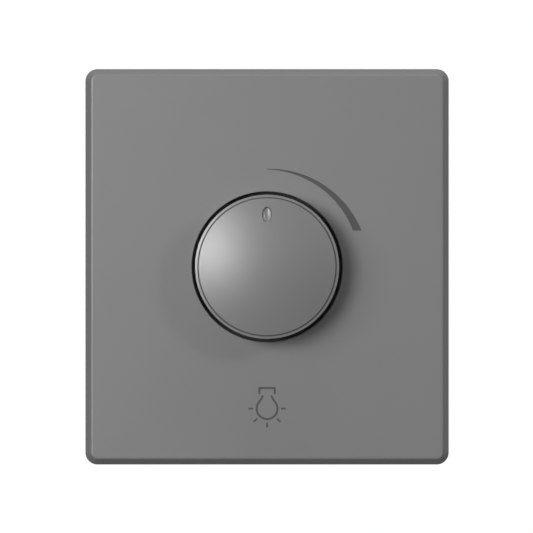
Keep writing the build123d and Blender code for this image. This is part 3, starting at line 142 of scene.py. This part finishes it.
# %% A sheet of nodes
class Sheet:
    """The nodes of one material or of the world."""

    def __init__(self, tree):
        self.tree = tree
        tree.nodes.clear()

    def node(self, kind, settings=None, sockets=None, out=0):
        """A new node of this kind. What comes back is the named or numbered output."""
        made = self.tree.nodes.new("ShaderNode" + kind)
        for name, value in (settings or {}).items():
            setattr(made, name, value)
        for name, value in (sockets or {}).items():
            if isinstance(value, Link):
                self.tree.links.new(value.socket, made.inputs[name])
            else:
                made.inputs[name].default_value = value
        return Link(self, made.outputs[out]) if made.outputs else None

    def place(self, stretch=(1, 1, 1)):
        """Where a point lies, in millimetres times stretch."""
        where = self.node("TexCoord", out="Object")
        scale = [s / MM for s in stretch]
        return self.node("VectorMath", {"operation": "MULTIPLY"}, {0: where, 1: scale})

    def along(self, axis):
        """How far a point lies along X, Y or Z, in millimetres."""
        return self.node("SeparateXYZ", None, {"Vector": self.place()}, out=axis)

    def clouds(self, size, detail, stretch=(1, 1, 1)):
        """Soft noise from 0 to 1 whose blotches are about this many millimetres across."""
        sockets = {"Vector": self.place(stretch), "Scale": 1 / size, "Detail": detail}
        return self.node("TexNoise", None, sockets)

    def rise(self, value, start, end):
        """0 where the value is at start, 1 where it is at end, and a smooth step between."""
        return self.node("MapRange", {"interpolation_type": "SMOOTHSTEP"}, {0: value, 1: start, 2: end})

    def blend(self, share, first, second):
        """A colour that goes from first to second as share goes from 0 to 1.

        The colours of a Mix node are its sockets 6 and 7 and its output 2.
        """
        ends = [end if isinstance(end, Link) else (*end, 1) for end in (first, second)]
        return self.node("Mix", {"data_type": "RGBA"}, {0: share, 6: ends[0], 7: ends[1]}, out=2)

    def relief(self, height, depth, edge=0):
        """A normal with this much relief in millimetres, and with sharp edges softened by edge."""
        sockets = {"Height": height, "Distance": depth * MM, "Strength": 1.0}
        if edge:
            sockets["Normal"] = self.node("Bevel", {"samples": 4}, {"Radius": edge * MM})
        return self.node("Bump", None, sockets)

    def surface(self, sockets):
        """The usual shader with these sockets, wired to the output."""
        shader = self.node("BsdfPrincipled", None, sockets)
        self.node("OutputMaterial", None, {"Surface": shader})


print("sheet ready:", [name for name in vars(Sheet) if not name.startswith("__")])

# %% [markdown]
# A finish is a material with a name. All of them are kept in one place, so that a piece can ask for its
# finish by that name.

# %% A shelf of finishes
FINISHES = {}


def finish(name):
    """The empty sheet of a new finish, which is put on the shelf."""
    material = bpy.data.materials.new(name)
    material.use_nodes = True
    FINISHES[name] = material
    return Sheet(material.node_tree)


print("shelf ready")

# %% [markdown]
# ## Moulded plastic
# The plate and the knob are moulded in one grey resin. The mould's steel is spark-eroded, which leaves a
# very fine even grain, so the plastic is satin and not glossy. A photograph of the grain could be wrapped
# round the piece, but noise needs no picture and no seam. The resin's tone drifts a little over
# centimetres, and the grain is a tenth of a millimetre or two on the parts that show. Both also make the
# gloss wander, which is what the eye reads as a real moulding.

# %% Drift, grain and gloss of a resin
DRIFT_SIZE = 16.0
DRIFT_SHARE = 0.6
GLOSS_MEAN = 0.05
GRAIN_GLOSS = 0.03


def resin(sheet, rough, grain, sheen):
    """Grain of this size in mm, the mottle of the tone, and a roughness that wanders by sheen.

    What the wandering adds on average at the usual sheen is taken off first.
    """
    slow = sheet.clouds(DRIFT_SIZE, detail=3.0)
    fine = sheet.clouds(grain, detail=1.0)
    mottle = DRIFT_SHARE * slow + (1 - DRIFT_SHARE) * fine
    gloss = rough - GLOSS_MEAN + sheen * slow + GRAIN_GLOSS * fine
    return fine, mottle, gloss


def deep_and_pale(tone, drift):
    """The tone made deeper, and made paler, by this share."""
    return [[c * (1 + way * drift) for c in tone] for way in (-1, 1)]


print("resin: tone drifts over", DRIFT_SIZE, "mm")

# %% [markdown]
# Pins push a finished moulding out of its mould, and each leaves a faint round step. The frame and the
# housing have four marks each. They could be cut into the solids, but a step of a tenth of a millimetre
# or so is a matter of relief. Taking the place without its signs folds the piece into one quarter, so a
# single circle there makes all four marks.

# %% Marks of the ejector pins
PIN_RADIUS = 2.0
PIN_STEP = 0.15


def pin_marks(sheet, across, up):
    """1 inside the round marks at plus and minus this X and Z, in millimetres, and 0 outside."""
    quarter = sheet.node("VectorMath", {"operation": "ABSOLUTE"}, {0: sheet.place()})
    flat = sheet.node("VectorMath", {"operation": "MULTIPLY"}, {0: quarter, 1: (1, 0, 1)})
    spot = (across, 0, up)
    away = sheet.node("VectorMath", {"operation": "DISTANCE"}, {0: flat, 1: spot}, out="Value")
    return sheet.rise(away, PIN_RADIUS, PIN_RADIUS - PIN_STEP)


print("pin marks:", 2 * PIN_RADIUS, "mm across")

# %% [markdown]
# With these the recipe is short: the mottle moves the tone, the grain makes the relief, and the pins add
# their step to it. The sharp edges of a solid catch no light, so the recipe can also round them off by a
# fraction of a millimetre, in the shading alone.


# %% The recipe for moulded plastic
def moulded(name, tone, drift, rough, grain, depth, edge=0, shine=0.5, sheen=0.07, pins=None):
    """Resin of this tone that drifts by this share, with a grain of this size and depth in mm.

    Sheen is how far the gloss wanders. Pins are the X and Z of the marks of the ejector pins.
    """
    sheet = finish(name)
    fine, mottle, gloss = resin(sheet, rough, grain, sheen)
    height = fine
    if pins:
        height = height + PIN_STEP / depth * pin_marks(sheet, *pins)
    sheet.surface({
        "Base Color": sheet.blend(mottle, *deep_and_pale(tone, drift)),
        "Roughness": gloss,
        "Normal": sheet.relief(height, depth, edge),
        "Specular IOR Level": shine,
    })


KNOB_GREY = (0.134, 0.134, 0.134)
FRAME_BLACK = (0.014, 0.014, 0.015)
HOUSING_BLACK = (0.018, 0.018, 0.02)
moulded("knob_grey", KNOB_GREY, drift=0.03, rough=0.34, grain=0.13, depth=0.003, shine=0.68)
moulded(
    "frame_black", FRAME_BLACK, drift=0.3, rough=0.46, grain=0.7, depth=0.03,
    edge=0.25, sheen=0.16, pins=(33, 38),
)
moulded(
    "housing_black", HOUSING_BLACK, drift=0.35, rough=0.36, grain=0.9, depth=0.04,
    edge=0.35, sheen=0.2, pins=(17, 19),
)
print("mouldings:", sorted(FINISHES))

# %% [markdown]
# The cases inside are mouldings as well: black for the switch and the potentiometer, white nylon for what
# slides, yellow and grey boxes for the film capacitors, and a soft grey pad under the triac. They take
# the same recipe with other tones, so there is nothing new to build.

# %% Small mouldings inside
moulded("case_black", (0.02, 0.02, 0.022), drift=0.2, rough=0.3, grain=0.4, depth=0.006, edge=0.15)
moulded("nylon_white", (0.74, 0.72, 0.66), drift=0.04, rough=0.44, grain=0.3, depth=0.006, edge=0.15)
moulded("film_yellow", (0.68, 0.40, 0.04), drift=0.06, rough=0.28, grain=0.5, depth=0.006, edge=0.2)
moulded("film_grey", (0.33, 0.34, 0.36), drift=0.06, rough=0.3, grain=0.5, depth=0.006, edge=0.2)
moulded("silicone_pad", (0.5, 0.51, 0.53), drift=0.08, rough=0.7, grain=0.35, depth=0.02)
print("plastics:", len(FINISHES), "finishes so far")

# %% [markdown]
# The plate's mould has two grains. Its flat face has the knob's fine one, but the bevel and the sides,
# which hands touch, have a coarser, duller one that hides marks. There the tone is also taken deeper as
# painted shade, which darkens the bevel and the sides. Which of the two a point gets follows from how far
# it lies behind the plate's front. Two materials would need the faces sorted first, and a mask made from
# the depth needs no sorting.

# %% The plate: fine face, coarse edge with painted shade
PLATE_GREY = (0.189, 0.189, 0.189)
PLATE_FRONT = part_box("cover_plate")[0].y
COARSE_FROM = 0.03
COARSE_TO = 0.2
# painted shade: the share of the plate's grey that is left on the bevel and the sides
PAINTED_SHADE_TONE = 0.71
COARSE_ROUGH = 0.14
COARSE_TIMES = 2


def two_grain_plate_with_painted_shade(drift, rough, grain, depth, shine, sheen):
    """Grey resin that turns coarser just behind the plate's front, with painted shade there: a deeper
    tone.
    """
    sheet = finish("plate_grey")
    fine, mottle, gloss = resin(sheet, rough, grain, sheen)
    coarse = sheet.clouds(COARSE_TIMES * grain, detail=2.0)
    # the edge mask brings the coarser grain and duller gloss, and also the painted shade of the tone
    edge = sheet.rise(sheet.along("Y") - PLATE_FRONT / MM, COARSE_FROM, COARSE_TO)
    face_and_painted_shade = []
    # the face's tone, then the same tone darkened as painted shade for the bevel and the sides
    for level in (1, PAINTED_SHADE_TONE):
        tone = [c * level for c in PLATE_GREY]
        face_and_painted_shade.append(sheet.blend(mottle, *deep_and_pale(tone, drift)))
    sheet.surface({
        "Base Color": sheet.blend(edge, *face_and_painted_shade),
        "Roughness": gloss + COARSE_ROUGH * edge,
        "Normal": sheet.relief(fine + edge * coarse, depth),
        "Specular IOR Level": shine,
    })


two_grain_plate_with_painted_shade(drift=0.03, rough=0.32, grain=0.16, depth=0.004, shine=0.3, sheen=0.07)
print("plate: coarse from", COARSE_TO, "mm behind its front at", round(PLATE_FRONT / MM, 2), "mm")

# %% [markdown]
# ## Metal
# The screws are zinc plated, the heat sink is rolled aluminium sheet, and the terminals and the bush are
# turned brass. Bare metal has hardly any colour of its own apart from its reflection, so its detail lies
# in the roughness: streaks along the way it was rolled or turned, and duller patches where it was handled.
# An image of scratches could give that too. Streaks made of the same noise as above, pulled out along one
# axis, follow the way each piece was worked.

# %% The recipe for metal
STREAK_WIDTH = 0.25
PATCH_SIZE = 3.0
PATCH_SHARE = 0.65
PATCH_DULL = 0.18
METAL_RELIEF = 0.004
METAL_EDGE = 0.12


def worked_metal(name, bright, dull, rough, streak):
    """Metal between two colours, with streaks stretched as this says along X, Y and Z."""
    sheet = finish(name)
    lines = sheet.clouds(STREAK_WIDTH, detail=3.0, stretch=streak)
    patches = sheet.clouds(PATCH_SIZE, detail=4.0)
    sheet.surface({
        "Base Color": sheet.blend(PATCH_SHARE * patches + (1 - PATCH_SHARE) * lines, dull, bright),
        "Metallic": 1.0,
        "Roughness": rough + PATCH_DULL * patches * lines,
        "Normal": sheet.relief(lines, METAL_RELIEF, METAL_EDGE),
    })


worked_metal("zinc_plate", (0.66, 0.67, 0.66), (0.48, 0.49, 0.51), rough=0.26, streak=(1, 0.3, 1))
worked_metal("rolled_aluminium", (0.76, 0.76, 0.77), (0.62, 0.62, 0.64), rough=0.3, streak=(1, 1, 0.05))
worked_metal("turned_brass", (0.78, 0.57, 0.27), (0.55, 0.37, 0.15), rough=0.24, streak=(1, 0.08, 1))
worked_metal("bright_tin", (0.74, 0.74, 0.73), (0.55, 0.55, 0.55), rough=0.22, streak=(1, 0.2, 1))
worked_metal("enamelled_wire", (0.62, 0.24, 0.09), (0.36, 0.11, 0.04), rough=0.2, streak=(1, 1, 0.2))
print("metals:", len(FINISHES), "finishes so far")

# %% [markdown]
# ## The board, the wafer and two coats
# The circuit board is green lacquer over woven glass cloth, and the wafer that carries the control's
# track is brown pressed paper. The threads could be modelled one by one, but they only show through as a
# faint check, so two waves at right angles make them. The choke's core has a yellow coat and the diode a
# blue glass one, and both are close enough to a moulding to take its recipe.

# %% Laminates and coats
WAVE_STEP = 0.3
STAIN_SIZE = 5.0
STAIN_DULL = 0.15
THREAD_RELIEF = 0.01
LAMINATE_EDGE = 0.1


def laminate(name, face, thread, rough, weave):
    """Pressed sheet with threads this many millimetres apart that show through its face."""
    sheet = finish(name)
    threads = {"Vector": sheet.place(), "Scale": WAVE_STEP / weave}
    warp, weft = [sheet.node("TexWave", {"bands_direction": way}, threads, out="Fac") for way in "XZ"]
    cloth = 0.5 * warp + 0.5 * weft
    stain = sheet.clouds(STAIN_SIZE, detail=4.0)
    sheet.surface({
        "Base Color": sheet.blend(0.5 * cloth + 0.5 * stain, face, thread),
        "Roughness": rough + STAIN_DULL * stain,
        "Normal": sheet.relief(cloth, THREAD_RELIEF, LAMINATE_EDGE),
    })


laminate("board_green", (0.03, 0.17, 0.06), (0.07, 0.26, 0.11), rough=0.3, weave=0.5)
laminate("wafer_brown", (0.16, 0.07, 0.03), (0.26, 0.14, 0.06), rough=0.5, weave=0.35)
moulded("core_coat", (0.62, 0.52, 0.12), drift=0.12, rough=0.38, grain=0.6, depth=0.03)
moulded("diode_blue", (0.07, 0.14, 0.38), drift=0.1, rough=0.14, grain=0.5, depth=0.002)
print("laminates and coats:", len(FINISHES), "finishes so far")

# %% [markdown]
# ## Resistor lacquer
# A resistor is dipped in tan lacquer and gets its bands from a small wheel. The bands could be rings of
# their own, but a band is only a question about one coordinate: fold the place along the length to and
# fro, and the band is where the fold is short. A second question keeps the bands off the two ends.

# %% Lacquer with its bands
LACQUER_TAN = (0.6, 0.43, 0.25)
BAND_BROWN = (0.14, 0.05, 0.03)
BAND_SHIFT = 0.4
BAND_FOLD = 0.7
BAND_HALF = 0.28
BAND_REACH = 2.4
BAND_COVER = 0.7
WEAR_SIZE = 0.8
WEAR_DULL = 0.12
LACQUER_ROUGH = 0.26
LACQUER_RELIEF = 0.02


def banded_lacquer():
    """Lacquer with dark bands across the length of the part, which lies along X."""
    low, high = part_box("resistors")
    sheet = finish("resistor_lacquer")
    along = sheet.along("X") - (low.x + high.x) / 2 / MM
    band = ((along + BAND_SHIFT).folded(BAND_FOLD) < BAND_HALF) * (abs(along) < BAND_REACH)
    worn = sheet.clouds(WEAR_SIZE, detail=3.0)
    cover = BAND_COVER + (1 - BAND_COVER) * worn
    sheet.surface({
        "Base Color": sheet.blend(band * cover, LACQUER_TAN, BAND_BROWN),
        "Roughness": LACQUER_ROUGH + WEAR_DULL * worn,
        "Normal": sheet.relief(worn, LACQUER_RELIEF),
    })


banded_lacquer()
print("lacquer: a band every", 2 * BAND_FOLD, "mm")

# %% [markdown]
# ## Fuse glass
# The fuse is a drawn glass tube with metal caps. A mix of clear and shiny shaders could stand for it, but
# the usual shader has glass of its own: full transmission. Drawing leaves faint lines along the tube, so
# the gloss changes across it.

# %% Clear glass with drawing lines
GLASS_DEEP = (0.9, 0.94, 0.93)
GLASS_PALE = (0.96, 0.98, 0.98)
GLASS_ROUGH = 0.03
LINE_WIDTH = 0.4
LINE_STRETCH = (1, 1, 0.1)
LINE_DULL = 0.05


def clear_glass():
    """Thin clear glass with faint drawing lines."""
    sheet = finish("fuse_clear")
    drawn = sheet.clouds(LINE_WIDTH, detail=2.0, stretch=LINE_STRETCH)
    sheet.surface({
        "Base Color": sheet.blend(drawn, GLASS_DEEP, GLASS_PALE),
        "Roughness": GLASS_ROUGH + LINE_DULL * drawn,
        "Transmission Weight": 1.0,
        "IOR": 1.5,
    })


clear_glass()
print("finishes:", len(FINISHES))

# %% [markdown]
# ## Giving each solid its finish
# Each CAD piece arrives with one material slot, named in the part's record. The table below says which
# finish stands in for each of those. The knob and the housing get their own, because the same resin is
# finished differently in each mould.

# %% From record slots to finishes
SLOT_FINISH = {
    "grey_plastic": "plate_grey",
    "black_plastic": "frame_black",
    "plated_steel": "zinc_plate",
    "aluminium_sheet": "rolled_aluminium",
    "brass": "turned_brass",
    "phenolic_wafer": "wafer_brown",
    "tinned_wire": "bright_tin",
    "white_nylon": "nylon_white",
    "black_moulding": "case_black",
    "circuit_laminate": "board_green",
    "iron_powder_core": "core_coat",
    "enamelled_copper": "enamelled_wire",
    "yellow_film_case": "film_yellow",
    "grey_film_case": "film_grey",
    "fuse_glass": "fuse_clear",
    "resistor_coat": "resistor_lacquer",
    "diode_glass": "diode_blue",
    "insulating_pad": "silicone_pad",
}
OWN_FINISH = {"knob": "knob_grey", "rear_housing": "housing_black"}

for name, node in NODES.items():
    for slot in node.material_slots:
        slot.material = FINISHES[OWN_FINISH.get(name) or SLOT_FINISH[slot.material.name]]
print("dressed", len(NODES), "solids")

# %% [markdown]
# ## Pieces that Blender adds
# A coil, two printed signs and a floor are made here. Modelling by hand with Blender's operators would
# work, but lists of points and faces say exactly what is built and depend on no selection. One helper
# puts anything into the scene, and another makes a mesh in one of the finishes first.


# %% Two helpers for new pieces
def new_object(name, data):
    """An object with this mesh, camera or lamp, in the scene."""
    made = bpy.data.objects.new(name, data)
    bpy.context.scene.collection.objects.link(made)
    return made


def new_piece(name, points, faces, finish_name):
    """An object made of these points and faces, in one of the finishes."""
    mesh = bpy.data.meshes.new(name)
    mesh.from_pydata(points, [], faces)
    mesh.validate()
    mesh.materials.append(FINISHES[finish_name])
    return new_object(name, mesh)


# %% [markdown]
# ## The return spring
# The spring behind the switch's plunger is the one piece that changes its shape: it shortens when the knob
# is pushed. A real one is wound from steel wire, with its end turns closed so that it stands square. A
# screw modifier would climb evenly, so the climb is worked out step by step here: slow in the end turns,
# full in between, and scaled to the length of the plain CAD spring whose place it takes.

# %% How the wire climbs
COIL_TURNS = 4.5
CLOSED_TURNS = 0.8
CLOSED_PITCH = 0.4
STEPS_PER_TURN = 36
WIRE = 0.3 * MM

coil_low, coil_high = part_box("switch_spring")
length = coil_high.y - coil_low.y
climb = [0.0]
for step in range(round(COIL_TURNS * STEPS_PER_TURN)):
    turn = (step + 0.5) / STEPS_PER_TURN
    inside = min(turn, COIL_TURNS - turn) > CLOSED_TURNS
    climb.append(climb[-1] + (1.0 if inside else CLOSED_PITCH))
lift = (length - 2 * WIRE) / climb[-1]
print("climb:", len(climb) - 1, "steps, open pitch", round(lift * STEPS_PER_TURN / MM, 2), "mm")

# %% [markdown]
# The wire is a ring of points at each step of the climb, joined to the next ring by a row of faces, with
# a cap at each end so that the tube is closed.

# %% A tube along the climb
WIRE_SIDES = 12

coil_radius = coil_high.z - WIRE
points = []
for step, height in enumerate(climb):
    angle = 2 * pi * step / STEPS_PER_TURN
    outward = Vector((cos(angle), 0, sin(angle)))
    centre = outward * coil_radius + Vector((0, coil_high.y - WIRE - height * lift, 0))
    for side in range(WIRE_SIDES):
        turn = 2 * pi * side / WIRE_SIDES
        points.append(centre + (outward * cos(turn) + Vector((0, sin(turn), 0))) * WIRE)
faces = [tuple(reversed(range(WIRE_SIDES))), tuple(range(len(points) - WIRE_SIDES, len(points)))]
for ring in range(0, len(points) - WIRE_SIDES, WIRE_SIDES):
    for side in range(WIRE_SIDES):
        after = (side + 1) % WIRE_SIDES
        row = (side, after, after + WIRE_SIDES, side + WIRE_SIDES)
        faces.append(tuple(ring + corner for corner in row))
print("tube:", len(points), "points,", len(faces), "faces")

# %% [markdown]
# The coil hangs on the base in the place of the plain CAD spring, which is hidden, and it gets a mesh
# of its own.

# %% The coil in place of the CAD spring
return_coil = new_piece("return_coil", points, faces, "zinc_plate")
return_coil.data.shade_smooth()

slide = next(joint for joint in frame["joints"] if joint["name"] == "plunger_slide")
travel = slide["range_m"][1]
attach(return_coil, "base")
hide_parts("switch_spring")
(length - travel) / length
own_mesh(return_coil)
print("coil: length", round(length / MM, 2), "mm, pushed", round((length - travel) / MM, 2), "mm")

# %% [markdown]
# ## The printed signs
# Two signs are printed on the plate in darker grey: a tapering arc that says which way is brighter, and a
# lamp. They could be painted by the plate's material, but a shape with crisp edges is easier to control
# as a thin slab of ink, two hundredths of a millimetre proud of the plate. Each line of the drawing is a
# ribbon: a row of left and right points, closed into a solid. Each step of a ribbon has four corners, two
# proud of the plate and two sunk in it, and the pairs below are the four sides between two steps.

# %% A ribbon of ink
INK_GREY = (0.052, 0.052, 0.053)
INK_PROUD = 0.02 * MM
INK_SUNK = 0.01 * MM
CORNERS = 4
SIDES = ((0, 1), (3, 2), (2, 0), (1, 3))


def ink_piece(name, ribbons):
    """Flat solids of ink. Each ribbon is a list of (left, right) points in mm, as (x, z)."""
    points = []
    faces = []
    for ribbon in ribbons:
        start = len(points)
        for pair in ribbon:
            for depth in (PLATE_FRONT - INK_PROUD, PLATE_FRONT + INK_SUNK):
                points += [(x * MM, depth, z * MM) for x, z in pair]
        last = len(points) - CORNERS
        for i in range(start, last, CORNERS):
            faces += [(i + a, i + b, i + b + CORNERS, i + a + CORNERS) for a, b in SIDES]
        faces.append((start, start + 2, start + 3, start + 1))
        faces.append((last, last + 1, last + 3, last + 2))
    piece = new_piece(name, points, faces, "sign_ink")
    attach(piece, "base")


moulded("sign_ink", INK_GREY, drift=0.06, rough=0.5, grain=0.12, depth=0.003, shine=0.3)
print("ink:", round((INK_PROUD + INK_SUNK) / MM, 3), "mm thick")

# %% [markdown]
# The arc starts as a hair line at the top and widens as it turns clockwise, and its broad end is cut off
# level. A curve with a tapering bevel could draw it, but its two edges are spirals about the knob's
# middle, so each step in angle gives one pair of points. Pairs past the level cut are dropped, and a last
# pair carries both edges on to it along their tangents.

# %% The tapering arc
ARC_SWEEP = 67.0
ARC_STEPS = 90
ARC_START = 23.11
ARC_INNER_END = 22.05
ARC_OUTER_END = 23.93
ARC_HAIR = 0.15
ARC_CUT = 8.57

arc = []
for step in range(ARC_STEPS + 1):
    share = step / ARC_STEPS
    angle = radians(ARC_SWEEP * share)
    pair = []
    for end, hair in ((ARC_OUTER_END, ARC_HAIR / 2), (ARC_INNER_END, -ARC_HAIR / 2)):
        radius = ARC_START + hair + (end - ARC_START - hair) * share
        pair.append((radius * sin(angle), radius * cos(angle)))
    arc.append(pair)
arc = [pair for pair in arc if min(z for _, z in pair) > ARC_CUT]
arc.append([(x + (z - ARC_CUT) * z / x, ARC_CUT) for x, z in arc[-1]])
ink_piece("dimming_arc", [arc])
print("arc: pairs", len(arc), "ends at", [(round(x, 2), round(z, 2)) for x, z in arc[-1]])

# %% [markdown]
# The lamp is drawn with lines of constant width: a cap with two short legs, a bulb whose neck flares
# into a circle, and five rays. A line could be a curve with a round bevel, but print is flat. So a line
# becomes a ribbon by stepping half its width to each side, and at a corner the step is longer, as in a
# mitre joint.


# %% From a line to a ribbon
def stroke(line, width):
    """The ribbon of a drawn line: each point pushed half its width to both sides."""
    ribbon = []
    for i, point in enumerate(line):
        before = Vector(point) - Vector(line[max(i - 1, 0)])
        after = Vector(line[min(i + 1, len(line) - 1)]) - Vector(point)
        ways = [way.normalized() for way in (before, after) if way.length]
        way = (ways[0] + ways[-1]).normalized()
        side = Vector((-way.y, way.x)) * width / 2 / way.dot(ways[0])
        ribbon.append((tuple(Vector(point) + side), tuple(Vector(point) - side)))
    return ribbon


print("a stroke 2 wide:", stroke([(0, 0), (1, 0)], 2))

# %% [markdown]
# Only the neck and the cap are lists of points, half of the neck at that: the other half is its mirror
# image. The bulb's round goes from one end of the neck to the other in equal steps, and the rays stand
# round the same middle.

# %% The lamp sign
LINE = 0.47
RAY_LINE = 0.42
BULB_MIDDLE = -33.56
BULB_RADIUS = 2.46
BULB_STEPS = 48
NECK = [(0.98, -30.45), (1.21, -30.93), (1.52, -31.48), (1.86, -31.96), (2.17, -32.4)]
CAP = [(-1.80, -30.09), (-1.80, -28.67), (1.80, -28.67), (1.80, -30.09)]
RAY_ANGLES = (0, 45, 90, 135, 180)
RAY_START = 3.3
RAY_END = 4.42

open_angle = atan2(NECK[-1][1] - BULB_MIDDLE, NECK[-1][0])
turns = [open_angle - (pi + 2 * open_angle) * i / BULB_STEPS for i in range(1, BULB_STEPS)]
round_part = [(BULB_RADIUS * cos(a), BULB_MIDDLE + BULB_RADIUS * sin(a)) for a in turns]
bulb = NECK + round_part + [(-x, z) for x, z in reversed(NECK)]
rays = []
for angle in RAY_ANGLES:
    way = Vector((cos(radians(angle)), -sin(radians(angle))))
    rays.append([tuple(Vector((0, BULB_MIDDLE)) + way * r) for r in (RAY_START, RAY_END)])
lines = [stroke(line, LINE) for line in (CAP, bulb)] + [stroke(ray, RAY_LINE) for ray in rays]
ink_piece("lamp_sign", lines)
print("lamp sign: lines", len(lines), "bulb points", len(bulb))

# %% [markdown]
# ## Camera
# The photograph looks straight at the plate from far off: the plate's sides don't show and the knob sits
# right in its hole. A camera without perspective would come close, but a long lens a few metres away is
# how such a picture is taken. The lens follows from the distance and from how wide a field the picture
# covers at the plate's outline, a little behind its front. The plate lies a hair off the picture's middle.

# %% A long lens, square to the plate
PICTURE = 533
PLATE_PIXELS = 363.3
PLATE_MIDDLE = (267.08, 266.80)
CAMERA_DISTANCE = 3.5
EDGE_BACK = 2.12 * MM
SENSOR = 36.0

low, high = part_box("cover_plate")
pixel = (high.x - low.x) / PLATE_PIXELS
optics = bpy.data.cameras.new("photo_camera")
optics.sensor_width = SENSOR
optics.lens = SENSOR * CAMERA_DISTANCE / (PICTURE * pixel)
camera = new_object("photo_camera", optics)
camera.location = (
    (PICTURE / 2 - PLATE_MIDDLE[0]) * pixel,
    low.y + EDGE_BACK - CAMERA_DISTANCE,
    (PLATE_MIDDLE[1] - PICTURE / 2) * pixel,
)
camera.rotation_euler = (pi / 2, 0, 0)
bpy.context.scene.camera = camera
print("lens", round(optics.lens), "mm; field", round(PICTURE * pixel / MM, 1), "mm")

# %% [markdown]
# ## World
# The background of the photograph is plain white. Making it white with light would burn the object out,
# so the world asks what kind of ray looks at it: a ray from the camera, or one mirrored by metal or bent
# by glass, sees white, and the rays that light the object see a dim grey.


# %% White to the eye, dim as a lamp
def seen_directly(sheet):
    """1 for a ray from the camera, a mirrored ray or one through glass, and 0 for the others."""
    kinds = ("Is Camera Ray", "Is Glossy Ray", "Is Transmission Ray")
    rays = [sheet.node("LightPath", out=kind) for kind in kinds]
    return (rays[0] + rays[1] + rays[2]).at_most(1.0)


AMBIENT = (0.02, 0.02, 0.02)
WHITE = (1.0, 1.0, 1.0)

world = bpy.data.worlds.new("white_room")
world.use_nodes = True
bpy.context.scene.world = world
air = Sheet(world.node_tree)
sky = air.node("Background", None, {"Color": air.blend(seen_directly(air), AMBIENT, WHITE)})
air.node("OutputWorld", None, {"Surface": sky})
print("world: ambient", AMBIENT[0])

# %% [markdown]
# ## Floor
# The floor is pale paper that lies below the picture and shows the shadow in the other views. It asks the
# same question as the world. To the eye it is partly white by itself, so that it runs into the background,
# and to scattered rays it is dim, because its bounce would light the lower bevel, which is dark in the
# photograph. It is large, so that its far edge doesn't show as a line behind the part.

# %% The floor
FLOOR_DROP = 120 * MM
FLOOR_HALF = 3.0
FLOOR_WHITE = 0.6
FLOOR_DIM = (0.03, 0.03, 0.03)
PAPER_DEEP = (0.8, 0.8, 0.8)
PAPER_PALE = (0.84, 0.84, 0.84)
FIBRE_SIZE = 2.0

ground = finish("pale_paper")
paper = ground.blend(ground.clouds(FIBRE_SIZE, detail=3.0), PAPER_DEEP, PAPER_PALE)
seen = seen_directly(ground)
lit = ground.node("BsdfDiffuse", None, {"Color": ground.blend(seen, FLOOR_DIM, paper)})
glow = ground.node("Emission", None, {"Color": (*WHITE, 1), "Strength": 1.0})
mixed = ground.node("MixShader", None, {0: FLOOR_WHITE * seen, 1: lit, 2: glow})
ground.node("OutputMaterial", None, {"Surface": mixed})

level = CAD_BOX[0].z - FLOOR_DROP
corners = [(x * FLOOR_HALF, y * FLOOR_HALF, level) for x, y in ((-1, -1), (1, -1), (1, 1), (-1, 1))]
floor = new_piece("pale_floor", corners, [(0, 1, 2, 3)], "pale_paper")
print("floor at", round(level / MM, 1), "mm")

# %% [markdown]
# ## Light
# The shadow of the knob falls to the right and a little down, and it is soft, so the main lamp is a
# softbox at the left, close to the camera's own direction, with a wider one beyond it. The upper bevel of
# the plate is bright and the lower one dark, so a long softbox hangs above. A small lamp at the right
# makes the faint second shadow left of the knob and the second streak in its dimple. Weaker ones further
# round and in front keep the shadows open, and two behind the plate light the frame and the housing for a
# look from the back. A bright picture all round could light the scene too, but lamps one by one can be
# matched to what each of them does.


# %% Softboxes round the plate
def softbox(name, across, up, distance, width, height, watts):
    """A soft lamp that many degrees to the right and up from the front, aimed at the plate."""
    turn, tilt = radians(across), radians(up)
    way = Vector((sin(turn) * cos(tilt), -cos(turn) * cos(tilt), sin(tilt)))
    lamp = bpy.data.lights.new(name, "AREA")
    lamp.shape = "RECTANGLE"
    lamp.size = width
    lamp.size_y = height
    lamp.energy = watts
    box = new_object(name, lamp)
    box.location = way * distance
    box.rotation_euler = (-way).to_track_quat("-Z", "Y").to_euler()
    box.visible_camera = False
    return box


LAMPS = [
    softbox("key_left", across=-21, up=6.2, distance=0.8, width=0.24, height=0.26, watts=3.42),
    softbox("wide_left", across=-38, up=12, distance=0.8, width=0.34, height=0.24, watts=1.7),
    softbox("top", across=0, up=82, distance=0.8, width=0.9, height=0.2, watts=4.3),
    softbox("near_right", across=40, up=20, distance=0.8, width=0.1, height=0.1, watts=0.88),
    softbox("far_right", across=72, up=26, distance=0.8, width=0.3, height=0.3, watts=0.45),
    softbox("front", across=3, up=5, distance=1.2, width=0.3, height=0.3, watts=0.12),
    softbox("right", across=112, up=6, distance=0.8, width=0.3, height=0.5, watts=0.4),
    softbox("rear_left", across=-160, up=10, distance=0.9, width=0.45, height=0.45, watts=3.2),
    softbox("rear_right", across=162, up=18, distance=0.9, width=0.45, height=0.45, watts=2.6),
]
print("lamps:", [lamp.name for lamp in LAMPS])

# %% [markdown]
# ## Colour
# The standard view transform shows colours as they are written.

# %% Colour
bpy.context.scene.view_settings.view_transform = "Standard"
